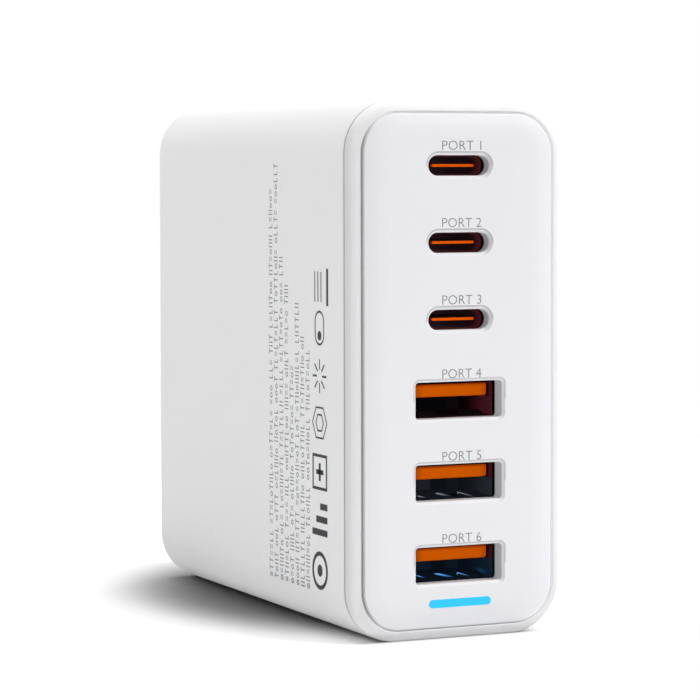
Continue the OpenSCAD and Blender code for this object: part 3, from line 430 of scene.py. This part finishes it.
def port_sleeve(name, node, wall, deep, lip, sill, painted_glints, painted_glow):
    """Blackened sleeve of a wide port, with painted light on its right wall, its mouth and its spring leaves,
    and in a soft spot.

    The painted light on the right wall fades to the share deep of its tone. Each painted glint has a start
    and a stop, given as X and the depth behind the panel's face in millimetres, then its width in millimetres
    and its colour.
    """
    finish = Finish(name, Base_Color=BLACKENED, Specular_IOR_Level=0.05, Emission_Strength=1.0)
    low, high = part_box(node)
    middle = (low.z + high.z) / 2
    x, y, z = finish.axes()
    depth = y - FRONT_Y
    right = x.rise(*RIGHT_WALL_X)
    upper = right * z.rise(middle, middle + 0.3 * MM)
    floor = z.fall(middle - FLOOR_TOP - 0.1 * MM, middle - FLOOR_TOP)
    # Painted light, given as emission: the right wall fading with depth, painted shade above it, the lip and
    # the sill of the mouth, painted glints on the leaves and a painted glow spot on the right wall
    tone = finish.mix(right * depth.fall(*WALL_FADE), shade(wall, deep), wall)
    tone = finish.mix(upper * depth.fall(*SHADOW_END), tone, NO_LIGHT)
    tone = finish.mix(upper * depth.fall(*LIP_END), tone, lip)
    tone = finish.mix(floor * depth.fall(*SILL_END) * (1 - right), tone, sill)
    for start, stop, width, colour in painted_glints:
        tone = finish.mix(floor * streak(x, depth, start, stop, width), tone, colour)
    along = (depth - SPOT_DEPTH) / SPOT_LENGTH
    up = (z - middle + SPOT_DROP) / SPOT_HEIGHT
    tone = finish.mix(right * (along * along + up * up).fading(), tone, painted_glow)
    lines = finish.noise(0.3 * MM, 3, 0.6, (1, 0.08, 1))
    finish.surface(Emission_Color=tone, Roughness=0.5 + 0.1 * lines)
    return finish.material


def streak(x, depth, start, stop, width):
    """Share of a painted glint that is brightest at its start and fades towards its stop. Width in
    millimetres.
    """
    run = (depth - start[1] * MM) / ((stop[1] - start[1]) * MM)
    line = start[0] * MM + run * ((stop[0] - start[0]) * MM)
    across = abs(x - line).fall(0.1 * width * MM, 0.5 * width * MM)
    return across * run.rise(-0.08, 0.04) * run.fall(0.15, 1.0)


# Grain of the tongues, and the depth behind a tongue's front at which painted shade blackens it into a dark
# block
TONGUE_GRAIN = 0.35 * MM
BLOCK_DEPTH = (0.3 * MM, 0.7 * MM)


def wide_tongue(name, node, block_lights):
    """Orange tongue, a little darker and redder at its ends, with painted shade that darkens its top and
    blackens it behind its front, where painted light gives the block three dark tones.
    """
    finish = Finish(name, Specular_IOR_Level=0.0, Emission_Strength=1.0)
    low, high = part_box(node)
    x, y, z = finish.axes()
    fine = finish.noise(TONGUE_GRAIN, 3, 0.6)
    # Painted shade at the top of the tongue
    top = z.rise(high.z - 0.85 * MM, high.z - 0.3 * MM)
    ends = abs(x).rise(4.5 * MM, 5.4 * MM)
    face = finish.mix(ends * 0.4, srgb(240, 106, 0), srgb(200, 76, 0))
    face = finish.mix(top, face, srgb(172, 60, 0))
    # Painted shade blackens the tongue behind its front, and painted light gives it dark tones
    inside = (y - low.y).rise(*BLOCK_DEPTH)
    dark = finish.mix(x.rise(1.2 * MM, 2.0 * MM), block_lights[0], block_lights[1])
    dark = finish.mix(x.rise(3.9 * MM, 4.7 * MM), dark, block_lights[2])
    finish.surface(
        Base_Color=finish.mix(inside, face, BLACKENED),
        Emission_Color=finish.mix(inside, NO_LIGHT, dark),
        Roughness=0.5 + 0.1 * fine,
    )
    finish.bump(fine, GRAIN_DEPTH)
    return finish.material


def deep_flat_port_light(finish, x):
    """Painted light deep inside a flat port, darker towards the right."""
    return finish.mix(x.rise(-1.5 * MM, 4.5 * MM), srgb(37, 21, 26), srgb(18, 8, 12))


def flat_tongue(name, node):
    """Tongue whose edge shows orange along its middle, brightened by painted light, and near black above and
    below it; behind its front, painted shade blackens it and painted light gives it a dim tone.
    """
    finish = Finish(name, Specular_IOR_Level=0.0, Emission_Strength=1.0)
    low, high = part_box(node)
    x, y, z = finish.axes()
    fine = finish.noise(TONGUE_GRAIN, 3, 0.6)
    off = abs(z - (low.z + high.z) / 2).rise(0.16 * MM, 0.22 * MM)
    inside = (y - low.y).rise(*BLOCK_DEPTH)
    edge = finish.mix(off, srgb(255, 110, 0), srgb(6, 8, 24))
    # Painted light on the orange middle of the edge
    glow = finish.mix(off, srgb(116, 16, 0), NO_LIGHT)
    finish.surface(
        Base_Color=finish.mix(inside, edge, NO_LIGHT),
        Emission_Color=finish.mix(inside, glow, deep_flat_port_light(finish, x)),
        Roughness=0.5 + 0.1 * fine,
    )
    finish.bump(fine, GRAIN_DEPTH)
    return finish.material


def flat_sleeve(name):
    """Blackened sleeve of a flat port, with painted warm light at its mouth and dim painted light deeper in.
    """
    finish = Finish(name, Specular_IOR_Level=0.08, Emission_Strength=1.0)
    x, y, _ = finish.axes()
    deep = (y - FRONT_Y).rise(2.8 * MM, 3.8 * MM)
    finish.surface(
        Base_Color=WARM_BLACK,
        Emission_Color=finish.mix(deep, srgb(54, 15, 17), deep_flat_port_light(finish, x)),
        Roughness=0.45 + 0.1 * finish.noise(0.3 * MM, 3),
    )
    return finish.material


def light_bar(name, centre, edge):
    """Clear bar lit from behind; its centre and its edge have tones of their own."""
    finish = Finish(name, Base_Color=(0.0, 0.01, 0.015, 1.0), Specular_IOR_Level=0.1, Emission_Strength=1.0)
    low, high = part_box("light_pipe")
    _, _, z = finish.axes()
    half = (high.z - low.z) / 2
    off = abs(z - (low.z + high.z) / 2)
    finish.surface(
        Emission_Color=finish.mix(off.rise(0.55 * half, 0.95 * half), centre, edge),
        Roughness=0.4 + 0.05 * finish.noise(1 * MM),
    )
    return finish.material


def circuit_board(name):
    """Green solder mask over angular copper tracks."""
    finish = Finish(name, Specular_IOR_Level=0.5, Roughness=0.3)
    tracks = finish.cells(2.4 * MM, "F2", "MANHATTAN") - finish.cells(2.4 * MM, "F1", "MANHATTAN")
    copper = 1 - tracks.rise(0.08, 0.16)
    finish.surface(Base_Color=finish.mix(copper, srgb(14, 74, 44), srgb(32, 104, 62)))
    finish.bump(copper, 0.02 * MM)
    return finish.material


def capacitor_can(name, node, colour):
    """Printed sleeve with a pale stripe down one side, and a bare metal top."""
    finish = Finish(name)
    low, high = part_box(node)
    middle = (low + high) / 2
    x, y, z = finish.axes()
    top = x.rise(high.x - 0.5 * MM, high.x - 0.4 * MM)
    stripe = (abs(z - middle.z) < 1.1 * MM) * (y > middle.y)
    sleeve = finish.mix(stripe, colour, srgb(190, 195, 205))
    finish.surface(
        Base_Color=finish.mix(top, sleeve, srgb(200, 200, 204)),
        Metallic=top,
        Roughness=0.3 + 0.1 * finish.noise(0.5 * MM),
    )
    return finish.material


def ferrite(name):
    """Pressed dark powder with fine specks."""
    finish = Finish(name, Specular_IOR_Level=0.5)
    speck = finish.noise(0.3 * MM, 4, 0.7)
    finish.surface(
        Base_Color=finish.mix(speck, srgb(38, 38, 40), srgb(62, 62, 64)),
        Roughness=0.5 + 0.2 * speck,
    )
    finish.bump(speck, 0.02 * MM)
    return finish.material


def wound(name, colour, pitch):
    """Wire or tape in even turns."""
    finish = Finish(name, Coat_Weight=0.4, Roughness=0.35)
    turns = finish.node("ShaderNodeTexWave", {"wave_type": "BANDS", "bands_direction": "Y"}, {
        "Vector": finish.place(), "Scale": 1 / pitch, "Distortion": 0.3, "Detail": 1.0,
    }, 1)
    finish.surface(Base_Color=finish.mix(turns, shade(colour, 0.6), colour))
    finish.bump(turns, 0.05 * MM)
    return finish.material


def soft_pad(name, colour):
    """Soft filled pad or insulating sheet."""
    finish = Finish(name, Roughness=0.8)
    speck = finish.cells(0.5 * MM)
    finish.surface(Base_Color=finish.mix(speck, shade(colour, 0.85), colour))
    finish.bump(speck, 0.03 * MM)
    return finish.material


def ink(name, colour):
    """Screen-printed ink, slightly uneven."""
    finish = Finish(name, Specular_IOR_Level=0.2)
    patch = finish.noise(0.6 * MM, 2)
    finish.surface(
        Base_Color=finish.mix(patch, shade(colour, 0.93), shade(colour, 1.07)),
        Roughness=0.55 + 0.1 * patch,
    )
    return finish.material


def dress(material, *names):
    """Gives CAD nodes a material in place of their own."""
    for name in names:
        slots = NODES[name].data.materials
        slots.clear()
        slots.append(material)


def each(name):
    """Names of the three nodes of one kind."""
    return [f"{name}_{k}" for k in PORTS]


# What shows inside each wide port, all as painted light: its right wall and the share of that tone left deep
# inside, the lip and the sill of its mouth, its painted glints and a painted glow spot
WIDE_SLEEVES = {
    1: dict(
        wall=srgb(58, 18, 25), deep=0.05, lip=srgb(56, 10, 16), sill=srgb(60, 10, 15),
        painted_glints=(), painted_glow=srgb(58, 18, 25),
    ),
    2: dict(
        wall=srgb(30, 35, 41), deep=0.35, lip=srgb(60, 12, 20), sill=srgb(8, 9, 14), painted_glow=srgb(28, 36, 46),
        painted_glints=(
            ((-4.82, 3.99), (-3.82, 3.39), 0.66, srgb(150, 156, 172)),
            ((0.72, 9.33), (0.59, 4.45), 1.5, srgb(120, 126, 140)),
            ((1.81, 4.44), (4.1, 2.9), 0.5, srgb(150, 156, 172)),
        ),
    ),
    3: dict(
        wall=srgb(14, 25, 38), deep=0.4, lip=srgb(50, 8, 14), sill=srgb(3, 8, 18), painted_glow=srgb(22, 48, 80),
        painted_glints=(
            ((-4.82, 4.51), (-3.8, 3.8), 0.6, srgb(90, 170, 255)),
            ((0.53, 9.15), (1.17, 4.31), 1.5, srgb(90, 165, 245)),
            ((1.75, 4.6), (3.36, 3.47), 0.57, srgb(100, 180, 255)),
        ),
    ),
}
# Three tones of painted light on the block behind each wide tongue, from left to right
WIDE_BLOCK_LIGHTS = {
    1: (srgb(5, 5, 8), srgb(5, 5, 8), srgb(14, 8, 11)),
    2: (srgb(27, 31, 37), srgb(12, 16, 21), srgb(18, 22, 27)),
    3: (srgb(14, 24, 37), srgb(8, 14, 22), srgb(12, 21, 32)),
}


def dress_outside():
    """Materials of all that the photograph shows, and of the mains inlet."""
    dress(case_plastic("case_white", srgb(244, 244, 245)), "housing", "front_bezel")
    dress(panel_plastic("panel_white", srgb(243, 243, 246)), "front_panel")
    dress(light_bar("light_bar", srgb(58, 205, 250), srgb(24, 196, 252)), "light_pipe")
    dress(moulded("socket_black", srgb(26, 26, 28), 0.4), "inlet_body")
    dress(sheet_metal("pin_nickel", srgb(215, 212, 205)), "inlet_pins")
    # The contacts are painted near black as shade, in place of their gold
    dress(moulded("contact_dark", srgb(7, 8, 20), 0.5), *each("wide_contacts"), *each("flat_contacts"))
    dress(flat_sleeve("sleeve_flat"), *each("flat_sleeve"))
    for k in PORTS:
        sleeve, block = f"wide_sleeve_{k}", f"wide_tongue_{k}"
        dress(port_sleeve(f"sleeve_wide_{k}", sleeve, **WIDE_SLEEVES[k]), sleeve)
        dress(wide_tongue(f"tongue_wide_{k}", block, WIDE_BLOCK_LIGHTS[k]), block)
        dress(flat_tongue(f"tongue_flat_{k}", f"flat_tongue_{k}"), f"flat_tongue_{k}")


def dress_inside():
    """Materials of the parts inside the case."""
    dress(circuit_board("board_green"), "port_board", "main_board")
    black = moulded("part_black", srgb(30, 30, 32), 0.45)
    dress(
        black, "port_controllers", "board_header", "bridge_rectifier", "transformer_bobbin", "power_switch",
        "optocoupler", "fuse",
    )
    dress(ferrite("ferrite_grey"), "transformer_core", "buck_inductors")
    dress(moulded("core_green", srgb(60, 88, 62), 0.5), "choke_core")
    dress(moulded("lacquer_green", srgb(36, 78, 52), 0.35), "thermistor")
    dress(moulded("lacquer_blue", srgb(44, 96, 168), 0.35), "y_capacitor")
    dress(moulded("box_yellow", srgb(222, 178, 60), 0.4), "x_capacitor")
    dress(moulded("lamp_white", srgb(225, 236, 244), 0.3), "status_led")
    dress(wound("enamel_wire", srgb(196, 92, 40), 1.2 * MM), "choke_windings")
    dress(wound("winding_tape", srgb(214, 178, 70), 2.4 * MM), "transformer_winding")
    dress(soft_pad("pad_grey", srgb(176, 182, 188)), "transformer_pad")
    dress(soft_pad("sheet_amber", srgb(214, 200, 160)), "insulation_sheet_left", "insulation_sheet_right")
    aluminium = sheet_metal("aluminium", srgb(205, 207, 210), 0.35)
    dress(aluminium, "heat_sink", "heat_spreader_left", "heat_spreader_right")
    dress(sheet_metal("screw_steel", srgb(190, 188, 184)), "switch_screw")
    for name, colour in (("bulk_capacitor", srgb(24, 30, 62)), ("output_capacitor", srgb(30, 34, 70))):
        for node in each(name):
            dress(capacitor_can(f"can_{node}", node, colour), node)


class Print:
    """Flat printed shapes, drawn in millimetres with X along the reading direction."""

    def __init__(self):
        self.mesh = bmesh.new()

    def bar(self, x, y, width, height, turn=0.0):
        place = Matrix.Translation((x, y, 0)) @ Matrix.Rotation(turn, 4, "Z")
        place = place @ Matrix.Diagonal((width, height, 1, 1))
        bmesh.ops.create_grid(self.mesh, x_segments=1, y_segments=1, size=0.5, matrix=place)

    def disc(self, x, y, radius, segments=24):
        bmesh.ops.create_circle(
            self.mesh, cap_ends=True, segments=segments, radius=radius, matrix=Matrix.Translation((x, y, 0))
        )

    def ring(self, x, y, radius, thick, segments=32, turn=0.0, wide=1.0):
        """Band of even thickness inside a circle or polygon, stretched along X by wide."""
        place = Matrix.Translation((x, y, 0)) @ Matrix.Rotation(turn, 4, "Z")
        circle = dict(segments=segments, matrix=place)
        outer = bmesh.ops.create_circle(self.mesh, radius=radius, **circle)["verts"]
        inner = bmesh.ops.create_circle(self.mesh, radius=radius - thick, **circle)["verts"]
        loops = {edge for vert in outer + inner for edge in vert.link_edges}
        bmesh.ops.bridge_loops(self.mesh, edges=list(loops))
        for vert in outer + inner:
            if wide > 1:
                vert.co.x += math.copysign((wide - 1) * radius, vert.co.x - x)

    def piece(self, name, place, material, slot):
        """Turns the drawing into a thin closed solid that rides on the case."""
        bmesh.ops.transform(self.mesh, matrix=place @ Matrix.Scale(MM, 4), verts=self.mesh.verts)
        bmesh.ops.recalc_face_normals(self.mesh, faces=self.mesh.faces)
        data = bpy.data.meshes.new(name)
        self.mesh.to_mesh(data)
        self.mesh.free()
        return add_piece(name, data, material)


def add_piece(name, data, material):
    """Film of ink from a flat mesh; it rides on the case."""
    piece = bpy.data.objects.new(name, data)
    bpy.context.scene.collection.objects.link(piece)
    data.materials.clear()
    data.materials.append(material)
    film = piece.modifiers.new("film", "SOLIDIFY")
    film.thickness = INK
    film.offset = 0.0
    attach(piece, ROOT)
    return piece


# Frames of the printed faces: X is the reading direction, Y the height of the letters, Z points outwards
FRONT_FACE = Matrix(((1, 0, 0, 0), (0, 0, -1, FRONT_Y), (0, 1, 0, 0), (0, 0, 0, 1)))
LEFT_FACE = Matrix(((0, 0, -1, LEFT_X), (0, 1, 0, 0), (1, 0, 0, 0), (0, 0, 0, 1)))


# How much thinner the labels' strokes are, as a share of the letters' size; then the labels' size, their
# place sideways and their height above the middle of each kind of port
THIN_STROKES = -0.014
LABEL_WIDTH, LABEL_HEIGHT = 6.27 * MM, 1.33 * MM
LABEL_X = 0.3 * MM
LABEL_RISES = {"flat": 2.89 * MM, "wide": 3.85 * MM}


def lettering(text, width, height):
    """Mesh of thin letters, centred, of this width and height in metres."""
    curve = bpy.data.curves.new("letters", "FONT")
    curve.body = text
    curve.offset = THIN_STROKES
    curve.resolution_u = 3
    letters = bpy.data.objects.new("letters", curve)
    bpy.context.scene.collection.objects.link(letters)
    view = bpy.context.evaluated_depsgraph_get()
    data = bpy.data.meshes.new_from_object(letters.evaluated_get(view))
    bpy.data.objects.remove(letters)
    low = Vector(min(vert.co[axis] for vert in data.vertices) for axis in range(2))
    high = Vector(max(vert.co[axis] for vert in data.vertices) for axis in range(2))
    centre = (low + high) / 2
    size = high - low
    stretch = Matrix.Diagonal((width / size.x, height / size.y, 1, 1))
    data.transform(stretch @ Matrix.Translation((-centre.x, -centre.y, 0)))
    return data


def print_labels(material):
    """A plain numbered label over each port."""
    number = 0
    for kind, above in LABEL_RISES.items():
        for sleeve in each(f"{kind}_sleeve"):
            number += 1
            low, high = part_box(sleeve)
            data = lettering(f"PORT {number}", LABEL_WIDTH, LABEL_HEIGHT)
            data.transform(FRONT_FACE @ Matrix.Translation((LABEL_X, (low.z + high.z) / 2 + above, 0)))
            add_piece(f"label_{number}", data, material)


# Rows on the left side, in millimetres: their common foot, the first row's place, their pitch and their tops
ROWS_FOOT = 6.4
ROWS_Y = -9.21
ROW_PITCH = 1.975
ROW_TOPS = (65.66, 69.41, 55.5, 51.55, 39.3, 49.15, 44.2, 41.9)
# Shapes in the rows, in millimetres: their height, the width of a stroke, their pitch and half their width
ROW_HEIGHT = 1.36
ROW_STROKE = 0.17
ROW_ADVANCE = 1.04
HALF_LETTER = 0.42
WORD_GAP = 0.7 * ROW_ADVANCE
ROWS_SEED = 11


def row_letter(drawing, kind, x, y):
    """One plain shape in a row: a ring, a corner, two upright strokes, a tee or two level strokes."""
    half_height = (ROW_HEIGHT - ROW_STROKE) / 2
    if kind == 0:
        drawing.ring(x + HALF_LETTER, y - 0.12, HALF_LETTER, ROW_STROKE, 12)
    elif kind == 1:
        drawing.bar(x + 0.2, y, ROW_STROKE, ROW_HEIGHT)
        drawing.bar(x + 0.45, y - half_height, 0.5, ROW_STROKE)
    elif kind == 2:
        drawing.bar(x + 0.15, y, ROW_STROKE, ROW_HEIGHT)
        drawing.bar(x + 0.7, y, ROW_STROKE, ROW_HEIGHT)
    elif kind == 3:
        drawing.bar(x + HALF_LETTER, y, ROW_STROKE, ROW_HEIGHT)
        drawing.bar(x + HALF_LETTER, y + half_height, 0.75, ROW_STROKE)
    else:
        drawing.bar(x + HALF_LETTER, y + 0.3, 0.7, ROW_STROKE)
        drawing.bar(x + HALF_LETTER, y - 0.25, 0.7, ROW_STROKE)


def print_rows(material):
    """Rows of small plain shapes, set in words, that stand in for fine print."""
    dice = random.Random(ROWS_SEED)
    drawing = Print()
    for row, top in enumerate(ROW_TOPS):
        y = ROWS_Y - row * ROW_PITCH
        x = ROWS_FOOT
        left_in_word = dice.randint(4, 9)
        while x < top - ROW_ADVANCE:
            if left_in_word == 0:
                x += WORD_GAP
                left_in_word = dice.randint(3, 9)
                continue
            row_letter(drawing, dice.randint(0, 4), x, y)
            x += ROW_ADVANCE
            left_in_word -= 1
    drawing.piece("side_rows", LEFT_FACE, material, "case_plastic")


# Column of marks on the left side, in millimetres: its place across, each mark's place along it, and the
# width of its bold and its fine strokes
MARKS_Y = -27.35
TARGET_X, STEPS_X, CROSS_X, NUT_X, RAYS_X, SWITCH_X, LINES_X = 9.6, 15.2, 24.0, 31.2, 38.0, 45.0, 51.0
BOLD, FINE = 0.62, 0.3


def print_marks(material):
    """A column of plain shapes beside the rows."""
    drawing = Print()
    y = MARKS_Y
    drawing.ring(TARGET_X, y, 2.8, BOLD)
    drawing.disc(TARGET_X, y, 0.9)
    longest, step_pitch = 5.4, 1.9
    for k, length in enumerate((longest, 4.0, 2.6)):
        drawing.bar(STEPS_X + k * step_pitch, y - (longest - length) / 2, 0.95, length)
    drawing.ring(CROSS_X, y, 3.7, BOLD, 4, math.pi / 4)
    for width, height in ((2.6, 0.7), (0.7, 2.6)):
        drawing.bar(CROSS_X, y, width, height)
    for radius in (2.7, 1.5):
        drawing.ring(NUT_X, y, radius, FINE, 6)
    rays, ray_middle, ray_length = 8, 1.7, 1.5
    for k in range(rays):
        turn = k * 2 * math.pi / rays
        x_off, y_off = ray_middle * math.cos(turn), ray_middle * math.sin(turn)
        drawing.bar(RAYS_X + x_off, y + y_off, ray_length, FINE, turn)
    drawing.ring(SWITCH_X, y, 1.7, FINE, 24, 0.0, 1.5)
    drawing.disc(SWITCH_X - 1.1, y, 0.7)
    for up in (0.5, -0.6, 1.6):
        drawing.bar(LINES_X, y + up, 4.4, FINE)
    drawing.bar(LINES_X, y - 2.8, 5.4, 0.7)
    drawing.piece("side_marks", LEFT_FACE, material, "case_plastic")


def add_camera():
    """Camera with the photograph's place, turn, focal length and shift."""
    look = Vector((math.sin(YAW) * math.cos(PITCH), math.cos(YAW) * math.cos(PITCH), -math.sin(PITCH)))
    level = Vector((math.cos(YAW), -math.sin(YAW), 0.0))
    lift = level.cross(look)
    right = level * math.cos(ROLL) + lift * math.sin(ROLL)
    up = lift * math.cos(ROLL) - level * math.sin(ROLL)
    data = bpy.data.cameras.new("camera")
    data.sensor_width = SENSOR
    data.lens = FOCAL_PX / PICTURE * SENSOR
    data.shift_y = SHIFT_Y_PX / PICTURE
    data.clip_start, data.clip_end = 0.01, 20.0
    camera = bpy.data.objects.new("camera", data)
    turn = Matrix((right, up, -look)).transposed().to_4x4()
    camera.matrix_world = Matrix.Translation(AIM - look * CAMERA_DISTANCE) @ turn
    bpy.context.scene.collection.objects.link(camera)
    bpy.context.scene.camera = camera


def add_lamp(name, place, size, power):
    """Square softbox aimed at the middle of the case; its place and size in metres, its power in watts."""
    data = bpy.data.lights.new(name, "AREA")
    data.size = size
    data.energy = power
    lamp = bpy.data.objects.new(name, data)
    place = Vector(place)
    look = Vector((0, 0, LAMP_AIM_Z)) - place
    lamp.matrix_world = Matrix.Translation(place) @ look.to_track_quat("-Z", "Y").to_matrix().to_4x4()
    bpy.context.scene.collection.objects.link(lamp)


# Half the length of the floor, in metres
FLOOR_HALF = 4.0
# Painted shadow that the floor shows beside the case: its middle, its half lengths, how dark it is, and where
# it ends at the right
SHADE_X, SHADE_Y = 9 * MM, 9.4 * MM
SHADE_HALF_X, SHADE_HALF_Y = 38.5 * MM, 47.4 * MM
SHADE_DEPTH = 0.884
SHADE_END_X = (-10 * MM, 10 * MM)
# The floor's tone for the camera and for other rays
FLOOR_SEEN = (1.186, 1.186, 1.186, 1.0)
FLOOR_UNSEEN = (0.96, 0.96, 0.96, 1.0)
# Where the plain white starts: in front of the case, right of its left corner, and far away
WHITE_FRONT_Y = (FRONT_Y + 1 * MM, FRONT_Y + 3 * MM)
WHITE_FRONT_X = (-17 * MM, -13 * MM)
WHITE_FAR = (120 * MM, 300 * MM)


def floor_finish():
    """White floor that runs out into a plain white background.

    To the camera it carries a painted shadow at the left of the case and under it, and is plain white in
    front of the case.
    """
    finish = Finish("floor_white", "ShaderNodeBsdfDiffuse")
    x, y, _ = finish.axes()
    across = (x - SHADE_X) / SHADE_HALF_X
    along = (y - SHADE_Y) / SHADE_HALF_Y
    # Painted shadow beside the case, seen by the camera only
    contact = ((across * across + along * along) ** 4.0).fading() * x.fall(*SHADE_END_X)
    camera = finish.node("ShaderNodeLightPath", out="Is Camera Ray")
    gloss = finish.node("ShaderNodeLightPath", out="Is Glossy Ray")
    seen = finish.mix(contact * SHADE_DEPTH, FLOOR_SEEN, NO_LIGHT)
    finish.surface(Color=finish.mix(camera, FLOOR_UNSEEN, seen))
    glow = finish.node("ShaderNodeEmission", sockets={"Color": (1, 1, 1, 1), "Strength": 1.0})
    front = y.fall(*WHITE_FRONT_Y) * x.rise(*WHITE_FRONT_X)
    far = ((x * x + y * y) ** 0.5).rise(*WHITE_FAR)
    share = (camera * front.most(far)).most(gloss * far)
    diffuse = Socket(finish, finish.shader.outputs[0])
    mixed = finish.node("ShaderNodeMixShader", sockets={0: share, 1: diffuse, 2: glow})
    finish.set(finish.output, {"Surface": mixed})
    return finish.material


def add_floor():
    """Floor for the renders only."""
    data = bpy.data.meshes.new("floor")
    shape = bmesh.new()
    bmesh.ops.create_grid(shape, x_segments=1, y_segments=1, size=FLOOR_HALF)
    shape.to_mesh(data)
    shape.free()
    floor = bpy.data.objects.new("floor", data)
    bpy.context.scene.collection.objects.link(floor)
    data.materials.append(floor_finish())


def add_world(level):
    """White to the camera and in gloss and glass, and a plain dim sky to everything else."""
    world = bpy.data.worlds.new("studio")
    world.use_nodes = True
    tree = world.node_tree
    tree.nodes.clear()
    output = tree.nodes.new("ShaderNodeOutputWorld")
    backgrounds = []
    for label, strength in (("lit", level), ("seen", 1.0)):
        background = tree.nodes.new("ShaderNodeBackground")
        background.label = label
        background.inputs["Color"].default_value = (1, 1, 1, 1)
        background.inputs["Strength"].default_value = strength
        backgrounds.append(background)
    path = tree.nodes.new("ShaderNodeLightPath")
    share = path.outputs["Is Camera Ray"]
    for ray in ("Is Glossy Ray", "Is Transmission Ray"):
        most = tree.nodes.new("ShaderNodeMath")
        most.operation = "MAXIMUM"
        tree.links.new(share, most.inputs[0])
        tree.links.new(path.outputs[ray], most.inputs[1])
        share = most.outputs[0]
    mix = tree.nodes.new("ShaderNodeMixShader")
    tree.links.new(share, mix.inputs[0])
    for index, background in enumerate(backgrounds):
        tree.links.new(background.outputs[0], mix.inputs[1 + index])
    tree.links.new(mix.outputs[0], output.inputs[0])
    bpy.context.scene.world = world


# Strength of the sky, the height in metres that the lamps aim at, and each lamp's place, size and power
WORLD = 0.15
LAMP_AIM_Z = 0.04
LAMPS = {
    "top": ((0.0, 0.0, 0.9), 0.8, 4.86),
    "back_left": ((-0.55, 0.45, 0.6), 0.5, 1.89),
    "back_right": ((0.55, 0.45, 0.6), 0.5, 1.0),
    "front_right": ((0.5, -0.5, 0.6), 0.5, 3.5),
    "right": ((0.8, 0.0, 0.3), 0.5, 0.5),
    "front_left": ((-0.6, -0.5, 0.5), 0.5, 0.68),
}

add_camera()
dress_outside()
dress_inside()
print_labels(ink("label_grey", srgb(124, 125, 130)))
print_rows(ink("row_grey", srgb(136, 137, 141)))
print_marks(ink("mark_grey", srgb(56, 56, 60)))
add_floor()
add_world(WORLD)
for name, (place, size, power) in LAMPS.items():
    add_lamp(name, place, size, power)

bpy.context.scene.view_settings.view_transform = "Standard"
